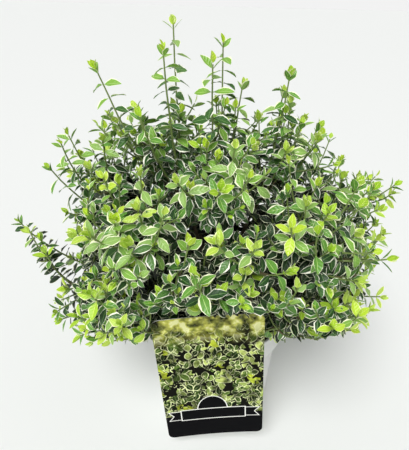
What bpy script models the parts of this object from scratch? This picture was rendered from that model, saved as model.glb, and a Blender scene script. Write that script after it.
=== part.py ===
# Potted variegated wintercreeper: pot, soil, hanging label, stems and foliage masses.
# Metres, Z up, origin at the centre of the pot's flat underside, front towards -Y.
import math
import random

import bmesh
import bpy
import numpy as np
from mathutils.bvhtree import BVHTree

MM = 0.001
SEED = 20
CLEARANCE = 0.3 * MM

# Pot
POT_HEIGHT = 115 * MM
POT_FOOT_RADIUS = 59 * MM
POT_NECK_RADIUS = 62 * MM
POT_COLLAR_RADIUS = 67.5 * MM
POT_RIM_RADIUS = 69 * MM
POT_COLLAR_BOTTOM = 91 * MM
POT_WALL = 1.8 * MM
POT_BASE = 2.5 * MM
POT_SIDES = 36
DRAIN_RADIUS = 4.5 * MM
DRAIN_RING = 40 * MM
DRAIN_COUNT = 6

# Soil
SOIL_TOP = 102 * MM
SOIL_HUMP = 3 * MM

# Label card and its hook
LABEL_WIDTH = 88 * MM
LABEL_HEIGHT = 148 * MM
LABEL_THICKNESS = 0.7 * MM
LABEL_CORNER = 6 * MM
LABEL_BOW = 1.6 * MM
LABEL_FOOT = (1.5 * MM, -77.5 * MM, 18.1 * MM)
LABEL_YAW = math.radians(3.2)
LABEL_TILT = math.radians(4.6)
HOOK_WIDTH = 14 * MM
HOOK_PLATE = 0.9 * MM
HOOK_FRONT = 75.5 * MM

# Stem and boughs
STEM_BOTTOM = SOIL_TOP + SOIL_HUMP + CLEARANCE
CROWN_FOOT = np.array([0.0, 0.0, 120 * MM])
HEAD_RADIUS = 11.6 * MM
BOUGH_RADIUS = 2.0 * MM
BOUGH_TIP_RADIUS = 1.5 * MM
BOUGH_SHARE = 0.5

# Crown outline: an egg-shaped body, and the tall leading shoots listed further down
BODY_CENTRE = np.array([0.0, 5 * MM, 192 * MM])
BODY_REACH = np.array([158 * MM, 132 * MM, 104 * MM])
TIP_COUNT = 62
TIP_LOWEST = -0.16
RIGHT_LIMIT = 152 * MM
LEFT_LIMITS = ((160 * MM, 158 * MM), (195 * MM, 138 * MM))
SIDE_SLOPE = 0.4
CREST_FALL = 0.2

# How near the leaves come to the rim, the pot's side, the card, the view of it and the hem
RIM_ROOM = 5 * MM
BESIDE_POT = 81 * MM
LOWEST_LEAF = 92 * MM
LABEL_SIDE = 60 * MM
LABEL_FRONT = 70 * MM
SIGHT_LINE = 171 * MM
SIGHT_START = 82 * MM
SIGHT_SLOPE = 0.95
HEM_START = 58 * MM
HEM_MIDDLE_SIDE = 72 * MM
HEM_MIDDLE = 118 * MM
HEM_SIDES = 108 * MM
HEM_SLOPE = 1.1

# Twigs and leaves, the leaves larger than life
TWIG_RADIUS = 1.25 * MM
TWIG_TIP_RADIUS = 0.75 * MM
LEAF_LENGTH = 33 * MM
LEAF_WIDTH = 20 * MM
LEAF_THICKNESS = 0.9 * MM
MOST_DROOP = 0.08
LEAF_SPACING = 26 * MM
LEADER_SCALE = 0.62
LEADER_SPACING = 21 * MM
BARE_BODY_SHOOT = 0.25
BARE_LEADER = 0.48
LEAF_SINK = 0.3 * MM
WELD = 0.002 * MM
CELL_MARGIN = 0.45 * MM
LIMB_MARGIN = 0.8 * MM

# Foliage masses: name, compass angle from +X in degrees, distance from the axis, height
MASSES = (
    ("low_right", 2, 112, 156),
    ("low_back_right", 50, 108, 158),
    ("low_back", 92, 104, 165),
    ("low_back_left", 133, 108, 158),
    ("low_left", 181, 112, 156),
    ("low_front_left", 229, 108, 158),
    ("low_front", 271, 92, 200),
    ("low_front_right", 310, 108, 158),
    ("mid_right", 20, 92, 226),
    ("mid_back_right", 72, 84, 232),
    ("mid_back_left", 118, 84, 232),
    ("mid_left", 166, 92, 226),
    ("mid_front_left", 222, 84, 232),
    ("mid_front_right", 322, 84, 232),
    ("top_right", 8, 48, 285),
    ("top_back", 96, 44, 282),
    ("top_left", 178, 50, 288),
    ("top_front", 262, 40, 280),
)

# Highest that the shoots between the leading ones reach: right, up, in millimetres
CREST = ((-160, 235), (-124, 285), (-93, 298), (-55, 316), (16, 320), (58, 298), (78, 286),
         (95, 264), (152, 250))

# Tips of the leading shoots that stand out of the body: right, back, up, in millimetres
LEADERS = (
    (-41, 10, 366),
    (-47, -14, 351),
    (-4, 22, 354),
    (-12, -20, 344),
    (15, 38, 320),
    (47, 2, 334),
    (-97, -10, 337),
    (-129, 4, 283),
    (-141, -18, 262),
    (-176, -20, 214),
    (-64, -28, 308),
    (80, 12, 292),
    (91, -12, 266),
    (152, 4, 246),
    (120, -18, 249),
    (122, -52, 224),
    (141, -50, 164),
    (-143, -48, 146),
    (-118, -62, 134),
    (112, -74, 136),
    (-84, 62, 292),
    (38, 70, 284),
    (112, 84, 262),
    (-122, 88, 240),
)

# Tips of the shoots that hang over the front of the rim, just above the card
FRONT_TIPS = (
    (-46, -98, 203),
    (-20, -106, 222),
    (12, -110, 232),
    (42, -104, 208),
    (-26, -92, 190),
    (8, -96, 200),
    (32, -90, 188),
    (-72, -90, 160),
    (70, -92, 166),
    (88, -78, 140),
    (-88, -78, 142),
)


def remove_everything():
    for scene_object in list(bpy.data.objects):
        bpy.data.objects.remove(scene_object, do_unlink=True)


def unit(vector):
    return vector / max(np.linalg.norm(vector), 1e-12)


def make_material(name, colour, roughness):
    material = bpy.data.materials.new(name)
    material.use_nodes = True
    shader = material.node_tree.nodes["Principled BSDF"]
    shader.inputs["Base Color"].default_value = (*colour, 1.0)
    shader.inputs["Roughness"].default_value = roughness
    material.diffuse_color = (*colour, 1.0)
    return material


def make_object(name, vertices, faces, material=None):
    mesh = bpy.data.meshes.new(name)
    mesh.from_pydata([tuple(float(value) for value in vertex) for vertex in vertices], [], faces)
    mesh.update()
    new_object = bpy.data.objects.new(name, mesh)
    bpy.context.scene.collection.objects.link(new_object)
    if material is not None:
        mesh.materials.append(material)
    return new_object


def shade_smooth(smooth_object, angle):
    # Faces are marked smooth, and edges steeper than the angle are kept sharp
    mesh = smooth_object.data
    mesh.set_sharp_from_angle(angle=angle)
    for polygon in mesh.polygons:
        polygon.use_smooth = True


def lathe(name, profile, sides, material, bumps=None):
    # Profile points are (radius, height), from the lower middle round to the upper middle
    vertices = []
    rings = []
    for radius, height in profile:
        if radius < 1e-7:
            rings.append([len(vertices)])
            vertices.append((0.0, 0.0, height))
            continue
        ring = []
        for side in range(sides):
            angle = 2 * math.pi * side / sides
            lift = bumps(radius, angle, height) if bumps else 0.0
            ring.append(len(vertices))
            vertices.append((radius * math.cos(angle), radius * math.sin(angle), height + lift))
        rings.append(ring)
    faces = []
    for lower, upper in zip(rings, rings[1:]):
        for side in range(sides):
            after = (side + 1) % sides
            if len(lower) == 1:
                faces.append((lower[0], upper[after], upper[side]))
            elif len(upper) == 1:
                faces.append((lower[side], lower[after], upper[0]))
            else:
                faces.append((lower[side], lower[after], upper[after], upper[side]))
    return make_object(name, vertices, faces, material)


def tube_mesh(points, radii, sides, twist=0.0):
    # A closed tapering tube along a path, its rings carried along without turning
    points = [np.asarray(point, float) for point in points]
    ahead = unit(points[1] - points[0])
    helper = np.array([0.0, 0.0, 1.0]) if abs(ahead[2]) < 0.9 else np.array([1.0, 0.0, 0.0])
    across = unit(np.cross(ahead, helper))
    vertices = []
    for index, (point, radius) in enumerate(zip(points, radii)):
        before = points[max(index - 1, 0)]
        after = points[min(index + 1, len(points) - 1)]
        ahead = unit(after - before)
        across = unit(across - ahead * np.dot(across, ahead))
        beside = np.cross(ahead, across)
        for side in range(sides):
            angle = 2 * math.pi * side / sides + twist
            vertices.append(point + radius * (math.cos(angle) * across + math.sin(angle) * beside))
    faces = [tuple(reversed(range(sides)))]
    for index in range(len(points) - 1):
        low = index * sides
        for side in range(sides):
            after = (side + 1) % sides
            faces.append((low + side, low + after, low + sides + after, low + sides + side))
    last = (len(points) - 1) * sides
    faces.append(tuple(last + side for side in range(sides)))
    return vertices, faces


def curve_points(start, bend, end, count):
    steps = np.linspace(0.0, 1.0, count)
    return [(1 - t) ** 2 * start + 2 * t * (1 - t) * bend + t ** 2 * end for t in steps]


# Pot, soil, label and hook


def pot_inner_radius(height):
    share = (height - POT_BASE) / (POT_COLLAR_BOTTOM - POT_BASE)
    return POT_FOOT_RADIUS - POT_WALL + share * (POT_NECK_RADIUS - POT_FOOT_RADIUS)


def build_pot(material):
    collar_floor = POT_COLLAR_BOTTOM + POT_WALL
    profile = [
        (0.0, 0.0),
        (POT_FOOT_RADIUS - 1.5 * MM, 0.0),
        (POT_FOOT_RADIUS, 1.5 * MM),
        (POT_NECK_RADIUS, POT_COLLAR_BOTTOM),
        (POT_COLLAR_RADIUS - 0.8 * MM, POT_COLLAR_BOTTOM),
        (POT_COLLAR_RADIUS, POT_COLLAR_BOTTOM + 0.8 * MM),
        (POT_RIM_RADIUS - 0.6 * MM, POT_HEIGHT - 3 * MM),
        (POT_RIM_RADIUS, POT_HEIGHT - 2.4 * MM),
        (POT_RIM_RADIUS, POT_HEIGHT - 0.6 * MM),
        (POT_RIM_RADIUS - 0.6 * MM, POT_HEIGHT),
        (POT_RIM_RADIUS - POT_WALL - 0.4 * MM, POT_HEIGHT),
        (POT_COLLAR_RADIUS - POT_WALL, collar_floor + 0.4 * MM),
        (pot_inner_radius(collar_floor), collar_floor),
        (pot_inner_radius(POT_BASE), POT_BASE),
        (0.0, POT_BASE),
    ]
    pot = lathe("pot", profile, POT_SIDES, material)
    cut_drain_holes(pot)
    shade_smooth(pot, math.radians(35))
    return pot


def cut_drain_holes(pot):
    cutters = bpy.data.collections.new("drain_cutters")
    bpy.context.scene.collection.children.link(cutters)
    for index in range(DRAIN_COUNT):
        angle = 2 * math.pi * (index + 0.5) / DRAIN_COUNT
        middle = np.array([DRAIN_RING * math.cos(angle), DRAIN_RING * math.sin(angle), 0.0])
        ends = [middle + (0, 0, -2 * MM), middle + (0, 0, POT_BASE + 2 * MM)]
        vertices, faces = tube_mesh(ends, [DRAIN_RADIUS] * 2, 8)
        cutter = make_object("drain_cutter", vertices, faces)
        cutter.hide_render = True
        cutter.display_type = "WIRE"
        bpy.context.scene.collection.objects.unlink(cutter)
        cutters.objects.link(cutter)
    join_collection(pot, cutters, "DIFFERENCE", "EXACT")


def soil_bumps(radius, angle, height):
    if height < SOIL_TOP - 1 * MM or radius < 0.2 * POT_RIM_RADIUS:
        return 0.0
    wave = math.sin(3 * angle + radius * 90) + 0.6 * math.cos(7 * angle - radius * 160)
    return 0.5 * MM * wave


def build_soil(material):
    step = POT_COLLAR_BOTTOM + POT_WALL + 0.4 * MM + CLEARANCE
    collar = POT_COLLAR_RADIUS - POT_WALL - CLEARANCE
    low = POT_BASE + CLEARANCE
    profile = [
        (0.0, low),
        (pot_inner_radius(low) - CLEARANCE, low),
        (pot_inner_radius(step) - CLEARANCE, step + CLEARANCE),
        (collar - 0.3 * MM, step + 2 * CLEARANCE),
        (collar, SOIL_TOP - 1.5 * MM),
        (0.72 * collar, SOIL_TOP + 0.9 * MM),
        (0.42 * collar, SOIL_TOP + 1.8 * MM),
        (0.18 * collar, SOIL_TOP + SOIL_HUMP),
        (0.0, SOIL_TOP + SOIL_HUMP),
    ]
    soil = lathe("soil", profile, 24, material, soil_bumps)
    shade_smooth(soil, math.radians(40))
    return soil


def label_axes():
    across = np.array([math.cos(LABEL_YAW), math.sin(LABEL_YAW), 0.0])
    back = np.array([-math.sin(LABEL_YAW), math.cos(LABEL_YAW), 0.0])
    up = np.array([0.0, 0.0, 1.0])
    turned_across = across * math.cos(LABEL_TILT) + up * math.sin(LABEL_TILT)
    turned_up = up * math.cos(LABEL_TILT) - across * math.sin(LABEL_TILT)
    return turned_across, turned_up, back


def label_columns():
    # Places across the card, close together where the corners are round
    half = LABEL_WIDTH / 2
    corner = []
    for step in range(4):
        angle = math.radians(90 * step / 3)
        corner.append((half - LABEL_CORNER + LABEL_CORNER * math.sin(angle),
                       LABEL_CORNER * (1 - math.cos(angle))))
    inner = [(place * (half - LABEL_CORNER), 0.0) for place in (-0.66, -0.33, 0.0, 0.33, 0.66)]
    left = [(-across, inset) for across, inset in reversed(corner)]
    return left + inner + corner


def build_label(material):
    across, up, back = label_axes()
    foot = np.array(LABEL_FOOT)
    vertices = []
    columns = label_columns()
    for place, inset in columns:
        bow = LABEL_BOW * (2 * place / LABEL_WIDTH) ** 2
        for depth in (-LABEL_THICKNESS / 2, LABEL_THICKNESS / 2):
            for rise in (inset, LABEL_HEIGHT - inset):
                vertices.append(foot + across * place + up * rise + back * (depth - bow))
    faces = []
    for column in range(len(columns) - 1):
        front_low, front_high, back_low, back_high = range(4 * column, 4 * column + 4)
        faces.append((front_low, front_low + 4, front_high + 4, front_high))
        faces.append((back_low, back_high, back_high + 4, back_low + 4))
        faces.append((front_low, back_low, back_low + 4, front_low + 4))
        faces.append((front_high, front_high + 4, back_high + 4, back_high))
    last = 4 * (len(columns) - 1)
    faces.append((0, 1, 3, 2))
    faces.append((last, last + 2, last + 3, last + 1))
    label = make_object("label_card", vertices, faces, material)
    shade_smooth(label, math.radians(30))
    return label


def build_hook(material):
    # A bent strap behind the card that hangs over the pot's rim
    outer = HOOK_FRONT
    inner = POT_RIM_RADIUS - POT_WALL - 1.7 * MM
    top = POT_HEIGHT + CLEARANCE
    section = [
        (-outer - HOOK_PLATE, 96 * MM),
        (-outer, 96 * MM),
        (-outer, top),
        (-inner, top),
        (-inner, 107 * MM),
        (-inner + HOOK_PLATE, 107 * MM),
        (-inner + HOOK_PLATE, top + HOOK_PLATE),
        (-outer - HOOK_PLATE, top + HOOK_PLATE),
    ]
    half = HOOK_WIDTH / 2
    count = len(section)
    vertices = [(-half, y, z) for y, z in section] + [(half, y, z) for y, z in section]
    faces = []
    for index in range(count):
        after = (index + 1) % count
        faces.append((index, after, after + count, index + count))
    for end in ((0, 1, 2, 7), (2, 3, 6, 7), (3, 4, 5, 6)):
        faces.append(tuple(reversed(end)))
        faces.append(tuple(corner + count for corner in end))
    hook = make_object("label_hook", vertices, faces, material)
    return hook


# Where the crown is shared out


def mass_centres():
    centres = []
    for _, angle, distance, height in MASSES:
        turn = math.radians(angle)
        centres.append((distance * MM * math.cos(turn), distance * MM * math.sin(turn), height * MM))
    return np.array(centres)


CENTRES = mass_centres()


def cell_depth(points, own):
    # How far each point lies inside the mass's own cell, negative when it is outside
    points = np.atleast_2d(points)
    squares = ((points[:, None, :] - CENTRES[None, :, :]) ** 2).sum(axis=2)
    spans = np.linalg.norm(CENTRES - CENTRES[own], axis=1)
    spans[own] = 1.0
    depths = (squares - squares[:, [own]]) / (2 * spans)
    depths[:, own] = 1.0
    return depths.min(axis=1)


def clear_of_pot_and_label(points):
    points = np.atleast_2d(points)
    reach = np.hypot(points[:, 0], points[:, 1])
    front = -points[:, 1]
    height = points[:, 2]
    over_rim = height > POT_HEIGHT + RIM_ROOM
    beside_pot = (reach > BESIDE_POT) & (height > LOWEST_LEAF)
    near_label = (np.abs(points[:, 0]) < LABEL_SIDE) & (front > LABEL_FRONT)
    sight = SIGHT_LINE + SIGHT_SLOPE * np.maximum(front - SIGHT_START, 0.0)
    over_label = ~near_label | (height > sight)
    forward = np.maximum(front - HEM_START, 0.0)
    middle = np.abs(points[:, 0]) < HEM_MIDDLE_SIDE
    hem = np.where(middle, HEM_MIDDLE, HEM_SIDES) + HEM_SLOPE * forward
    over_hem = (forward == 0.0) | (height > hem)
    return bool(np.all((over_rim | beside_pot) & over_label & over_hem))


def crest_height(point):
    places, heights = zip(*CREST)
    return np.interp(point[0] / MM, places, heights) * MM - CREST_FALL * point[1]


def within_outline(point):
    # The crown is flatter on its right and left than the body, the more so towards the front
    heights, widths = zip(*LEFT_LIMITS)
    right = point[0] - SIDE_SLOPE * point[1]
    left = -point[0] - SIDE_SLOPE * point[1]
    beside = right < RIGHT_LIMIT and left < np.interp(point[2], heights, widths)
    return beside and point[2] < crest_height(point)


def card_guard():
    # A box round the card and its hook that no leaf may cross
    across, up, back = label_axes()
    corners = []
    for depth in (-5 * MM, 6 * MM):
        for side in (-1, 1):
            for rise in (-3 * MM, LABEL_HEIGHT + 1.5 * MM):
                corners.append(np.array(LABEL_FOOT) + across * side * (LABEL_WIDTH / 2 + 3 * MM)
                               + up * rise + back * depth)
    faces = [(0, 1, 3, 2), (4, 6, 7, 5), (0, 2, 6, 4), (1, 5, 7, 3), (0, 4, 5, 1), (2, 3, 7, 6)]
    return BVHTree.FromPolygons([tuple(corner) for corner in corners], faces)


CARD_GUARD = card_guard()


def body_radius(direction):
    # Distance from the crown's foot to the body's surface along a direction
    start = (CROWN_FOOT - BODY_CENTRE) / BODY_REACH
    slope = direction / BODY_REACH
    a = slope @ slope
    b = 2 * start @ slope
    c = start @ start - 1
    return (-b + math.sqrt(b * b - 4 * a * c)) / (2 * a)


def body_points(count):
    # Points spread evenly over the body by the golden angle, some of them further in
    rng = random.Random(SEED)
    points = []
    for index in range(count):
        rise = TIP_LOWEST + (0.98 - TIP_LOWEST) * (index + 0.5) / count
        turn = index * math.pi * (3 - math.sqrt(5))
        flat = math.sqrt(1 - rise * rise)
        direction = np.array([flat * math.cos(turn), flat * math.sin(turn), rise])
        depth = 1.03 - 0.42 * rng.random() ** 2
        points.append(CROWN_FOOT + direction * body_radius(direction) * depth)
    return points


def cell_of(point):
    return int(np.argmin(((CENTRES - point) ** 2).sum(axis=1)))


def spread_tips(count):
    # Leading shoots first, then each new tip as far as it can be from those chosen before
    leaders = [(np.array(tip) * MM, LEADER_SCALE) for tip in LEADERS]
    leaders += [(np.array(tip) * MM, 1.0) for tip in FRONT_TIPS]
    choices = [point for point in body_points(2400)
               if cell_depth(point, cell_of(point))[0] > 5 * MM
               and clear_of_pot_and_label(point) and within_outline(point)]
    choices = np.array(choices)
    nearest = np.full(len(choices), 1.0)
    shares = [[] for _ in MASSES]
    for leader, scale in leaders:
        nearest = np.minimum(nearest, np.linalg.norm(choices - leader, axis=1))
        shares[cell_of(leader)].append((leader, scale))
    for _ in range(count):
        pick = choices[int(np.argmax(nearest))]
        nearest = np.minimum(nearest, np.linalg.norm(choices - pick, axis=1))
        shares[cell_of(pick)].append((pick, 1.0))
    return shares


# Stem and boughs


def bough_path(own):
    # From the rounded head of the stem to the hub that its mass grows from
    hub = CROWN_FOOT + BOUGH_SHARE * (CENTRES[own] - CROWN_FOOT)
    way = unit(hub - CROWN_FOOT)
    start = CROWN_FOOT + way * (HEAD_RADIUS + CLEARANCE)
    bend = (start + hub) / 2 - np.array([0.0, 0.0, 2.5 * MM]) * (1 - way[2])
    return curve_points(start, bend, hub, 4)


def bough_radii():
    return list(np.linspace(BOUGH_RADIUS, BOUGH_TIP_RADIUS, 4))


def build_stem(material):
    # A short woody stem that flares at the soil and ends in a rounded head
    foot = CROWN_FOOT[2]
    profile = [
        (0.0, STEM_BOTTOM),
        (1.02 * HEAD_RADIUS, STEM_BOTTOM),
        (0.86 * HEAD_RADIUS, STEM_BOTTOM + 3.5 * MM),
        (0.90 * HEAD_RADIUS, foot - 0.42 * HEAD_RADIUS),
    ]
    for turn in (0, 25, 50, 72):
        angle = math.radians(turn)
        profile.append((HEAD_RADIUS * math.cos(angle), foot + HEAD_RADIUS * math.sin(angle)))
    profile.append((0.0, foot + HEAD_RADIUS))
    stem = lathe("main_stem", profile, 12, material)
    shade_smooth(stem, math.radians(50))
    return stem


def build_bough(own, material):
    vertices, faces = tube_mesh(bough_path(own), bough_radii(), 5)
    bough = make_object("bough_" + MASSES[own][0], vertices, faces, material)
    shade_smooth(bough, math.radians(50))
    return bough


def limb_samples():
    # Points down the middle of every limb with the radius there
    points = []
    radii = []
    for own in range(len(MASSES)):
        path = bough_path(own)
        width = bough_radii()
        for index in range(len(path) - 1):
            for share in np.linspace(0, 1, 12, endpoint=False):
                points.append(path[index] * (1 - share) + path[index + 1] * share)
                radii.append(width[index] * (1 - share) + width[index + 1] * share)
        points.append(path[-1])
        radii.append(width[-1])
    points.append(CROWN_FOOT)
    radii.append(HEAD_RADIUS)
    return np.array(points), np.array(radii)


LIMB_POINTS, LIMB_RADII = limb_samples()


def clear_of_limbs(points, radius):
    points = np.atleast_2d(points)
    gaps = np.linalg.norm(points[:, None, :] - LIMB_POINTS[None, :, :], axis=2) - LIMB_RADII
    return bool(gaps.min() > radius)


# Twigs and leaves of one mass


def leaf_mesh(root, along, facing, length, width, thickness, droop):
    # A leaf with six corners and one keel point below: ten faces, three of them at the root
    across = unit(np.cross(facing, along))
    outline = ((0.0, 0.0), (0.38, 0.46), (0.78, 0.42), (1.0, 0.0), (0.78, -0.42), (0.38, -0.46))
    vertices = []
    for forward, side in outline:
        lift = 0.05 * width * abs(side) - droop * length * forward * forward
        vertices.append(root + along * forward * length + across * side * width + facing * lift)
    keel = root + along * 0.55 * length - facing * (0.34 * droop * length + 0.7 * thickness)
    vertices.append(keel)
    faces = [(0, 5, 1), (1, 3, 2), (1, 5, 3), (3, 5, 4)]
    for index in range(6):
        faces.append((index, (index + 1) % 6, 6))
    return vertices, faces


def leaf_test_points(vertices):
    points = [np.asarray(vertex) for vertex in vertices]
    spine = (vertices[0] + vertices[3]) / 2
    for index in range(6):
        after = (index + 1) % 6
        for share in (0.0, 0.33, 0.66):
            edge = vertices[index] * (1 - share) + vertices[after] * share
            points.append(edge)
            points.append(edge * 0.66 + spine * 0.34)
            points.append(edge * 0.33 + spine * 0.67)
    return np.array(points)


def blade_tree(vertices, faces):
    # The leaf without its root, to find the leaves that would cross each other
    shorter = [tuple(vertices[0] * 0.8 + vertices[3] * 0.2)] + [tuple(v) for v in vertices[1:]]
    return BVHTree.FromPolygons(shorter, faces)


class FoliageMass:
    def __init__(self, own, tips, attempt):
        self.own = own
        self.name = "foliage_" + MASSES[own][0]
        self.rng = random.Random(SEED * 100 + own + 1000 * attempt)
        self.tips = tips
        self.pieces = []
        self.blades = []
        self.leaves = 0

    def fits(self, points, limb_gap):
        inside = cell_depth(points, self.own).min() > CELL_MARGIN
        return inside and clear_of_pot_and_label(points) and clear_of_limbs(points, limb_gap)

    def shoot_path(self, start, tip):
        # The shoot leaves outward, turns upward and ends a young leaf's length short of its tip
        tip, scale = tip
        tip = tip - unit(tip - start) * 0.56 * LEAF_LENGTH * scale
        for pull in (1.0, 0.6, 0.25, 0.0):
            bend = start + (tip - start) * (0.52, 0.52, 0.52 - 0.22 * pull)
            bend = bend + (tip - start) * np.array([0.2, 0.2, 0.0]) * pull
            if cell_depth(bend, self.own)[0] > 2 * MM:
                return curve_points(start, bend, tip, 4)
        return curve_points(start, (start + tip) / 2, tip, 4)

    def add_twig(self, path, first, last):
        radii = np.linspace(first, last, len(path))
        vertices, faces = tube_mesh(path, radii, 3, self.rng.uniform(0, 2))
        self.pieces.append((vertices, faces))

    def add_leaf(self, root, ahead, side, spread, size):
        # A leaf that has no room is tried again smaller and closer to its twig, then left out
        droop = self.rng.uniform(0.0, MOST_DROOP)
        for shrink, close in ((1.0, 0.0), (0.86, 0.22), (0.72, 0.44)):
            turn = spread * (1 - close)
            along = unit(math.cos(turn) * ahead + math.sin(turn) * side)
            facing = unit(ahead - along * np.dot(ahead, along))
            scale = size * shrink
            vertices, faces = leaf_mesh(root - along * LEAF_SINK, along, facing,
                                        LEAF_LENGTH * scale, LEAF_WIDTH * scale,
                                        LEAF_THICKNESS * scale, droop)
            blade = blade_tree(vertices, faces)
            crossed = any(blade.overlap(other) for other in [CARD_GUARD] + self.blades)
            if not crossed and self.fits(leaf_test_points(vertices), LIMB_MARGIN):
                self.pieces.append((vertices, faces))
                self.blades.append(blade)
                self.leaves += 1
                return

    def add_leaf_pairs(self, path, scale):
        lengths = [np.linalg.norm(b - a) for a, b in zip(path, path[1:])]
        total = sum(lengths)
        distance = total - 1.5 * MM
        bare = BARE_BODY_SHOOT if scale == 1.0 else BARE_LEADER
        turn = self.rng.uniform(0, math.pi)
        young = True
        while distance > bare * total:
            point, ahead = point_on_path(path, lengths, distance)
            side = unit(np.cross(ahead, (math.cos(turn), math.sin(turn), 0.3)))
            spread = math.radians(self.rng.uniform(28, 38) if young else self.rng.uniform(52, 70))
            size = scale * (self.rng.uniform(0.72, 0.86) if young else self.rng.uniform(0.9, 1.1))
            self.add_leaf(point, ahead, side, spread, size)
            self.add_leaf(point, ahead, -side, spread, size * self.rng.uniform(0.9, 1.05))
            turn += math.pi / 2
            spacing = LEAF_SPACING if scale == 1.0 else LEADER_SPACING
            distance -= spacing * (0.5 if young else self.rng.uniform(0.9, 1.1))
            young = False

    def grow(self):
        path = bough_path(self.own)
        way = unit(path[-1] - path[-2])
        start = path[-1] + way * CLEARANCE
        tips = sorted(self.tips, key=lambda tip: -np.dot(unit(tip[0] - start), way))
        stem = self.shoot_path(start, tips[0])
        stem[1] = start + way * np.linalg.norm(stem[1] - start)
        self.add_twig(stem, BOUGH_TIP_RADIUS, TWIG_TIP_RADIUS)
        self.add_leaf_pairs(stem, tips[0][1])
        for index, tip in enumerate(tips[1:]):
            share = 0.10 + 0.34 * index / max(len(tips) - 2, 1)
            lengths = [np.linalg.norm(b - a) for a, b in zip(stem, stem[1:])]
            fork, _ = point_on_path(stem, lengths, share * sum(lengths))
            shoot = self.shoot_path(fork, tip)
            if self.fits(np.array(shoot[1:]), LIMB_MARGIN + TWIG_RADIUS):
                self.add_twig(shoot, TWIG_RADIUS, TWIG_TIP_RADIUS)
                self.add_leaf_pairs(shoot, tip[1])

    def build(self, material):
        self.grow()
        stem = make_object(self.name, *self.pieces[0], material)
        rest = bpy.data.collections.new(self.name + "_pieces")
        bpy.context.scene.collection.children.link(rest)
        for vertices, faces in self.pieces[1:]:
            piece = make_object("piece", vertices, faces)
            bpy.context.scene.collection.objects.unlink(piece)
            rest.objects.link(piece)
        join_collection(stem, rest, "UNION", "MANIFOLD")
        keep_one_shell(stem)
        weld_near_points(stem)
        return stem


def point_on_path(path, lengths, distance):
    for index, length in enumerate(lengths):
        if distance <= length or index == len(lengths) - 1:
            share = min(max(distance / length, 0.0), 1.0)
            point = path[index] * (1 - share) + path[index + 1] * share
            return point, unit(path[index + 1] - path[index])
        distance -= length
    return path[-1], unit(path[-1] - path[-2])


def join_collection(target, collection, operation, solver):
    # One Boolean with the whole collection, applied, then the collection's objects go
    modifier = target.modifiers.new("join", "BOOLEAN")
    modifier.operation = operation
    modifier.operand_type = "COLLECTION"
    modifier.collection = collection
    modifier.solver = solver
    bpy.context.view_layer.update()
    graph = bpy.context.evaluated_depsgraph_get()
    joined = bpy.data.meshes.new_from_object(target.evaluated_get(graph))
    target.modifiers.clear()
    materials = list(target.data.materials)
    target.data = joined
    joined.materials.clear()
    for material in materials:
        joined.materials.append(material)
    for polygon in joined.polygons:
        polygon.material_index = 0
    for piece in list(collection.objects):
        bpy.data.objects.remove(piece, do_unlink=True)
    bpy.data.collections.remove(collection)


def shell_faces(mesh):
    # Faces grouped into connected shells
    parent = list(range(len(mesh.vertices)))

    def root(index):
        while parent[index] != index:
            parent[index] = parent[parent[index]]
            index = parent[index]
        return index

    for edge in mesh.edges:
        first, second = (root(corner) for corner in edge.vertices)
        parent[first] = second
    shells = {}
    for polygon in mesh.polygons:
        shells.setdefault(root(polygon.vertices[0]), []).append(polygon.index)
    return list(shells.values())


def keep_one_shell(target):
    # Sealed hollows and loose scraps go, the largest shell stays
    mesh = target.data
    shells = sorted(shell_faces(mesh), key=len)
    if len(shells) == 1:
        return
    keep = shells[-1]
    used = sorted({corner for face in keep for corner in mesh.polygons[face].vertices})
    place = {corner: index for index, corner in enumerate(used)}
    vertices = [tuple(mesh.vertices[corner].co) for corner in used]
    faces = [tuple(place[corner] for corner in mesh.polygons[face].vertices) for face in keep]
    fresh = bpy.data.meshes.new(target.name)
    fresh.from_pydata(vertices, [], faces)
    for material in mesh.materials:
        fresh.materials.append(material)
    target.data = fresh


def weld_near_points(target):
    shape = bmesh.new()
    shape.from_mesh(target.data)
    bmesh.ops.remove_doubles(shape, verts=shape.verts, dist=WELD)
    bmesh.ops.dissolve_degenerate(shape, edges=shape.edges, dist=WELD)
    bmesh.ops.triangulate(shape, faces=shape.faces)
    shape.to_mesh(target.data)
    shape.free()


def is_closed(target):
    # Every edge has two faces and every point one fan of faces round it
    shape = bmesh.new()
    shape.from_mesh(target.data)
    closed = all(edge.is_manifold for edge in shape.edges)
    closed = closed and all(vertex.is_manifold for vertex in shape.verts)
    shape.free()
    return closed


def build_mass(own, tips, material):
    # A mass whose pieces only just touch is grown again from another seed
    for attempt in range(8):
        mass = FoliageMass(own, tips, attempt)
        grown = mass.build(material)
        if is_closed(grown):
            print(mass.name, "tips", len(tips), "leaves", mass.leaves)
            return
        bpy.data.objects.remove(grown, do_unlink=True)
    raise RuntimeError(MASSES[own][0] + " never came out closed")


def build_foliage():
    shares = spread_tips(TIP_COUNT)
    greens = (
        (0.10, 0.22, 0.07),
        (0.14, 0.28, 0.07),
        (0.20, 0.36, 0.08),
    )
    materials = [make_material("leaf_green_%d" % index, green, 0.5)
                 for index, green in enumerate(greens)]
    for own, tips in enumerate(shares):
        build_mass(own, tips, materials[own % 3])


def main():
    remove_everything()
    build_pot(make_material("white_plastic", (0.86, 0.87, 0.88), 0.45))
    build_soil(make_material("peat", (0.035, 0.024, 0.018), 0.95))
    build_label(make_material("printed_card", (0.30, 0.36, 0.16), 0.35))
    build_hook(make_material("black_plastic", (0.03, 0.03, 0.03), 0.5))
    bark = make_material("green_bark", (0.16, 0.15, 0.09), 0.8)
    build_stem(bark)
    for own in range(len(MASSES)):
        build_bough(own, bark)
    build_foliage()


main()
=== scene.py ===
# Looks of the potted variegated wintercreeper: pot, peat, printed card, wood, twigs and leaves.
import math
import random
from collections import namedtuple

import bpy
import numpy as np
from mathutils import Matrix, Vector, noise


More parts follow.
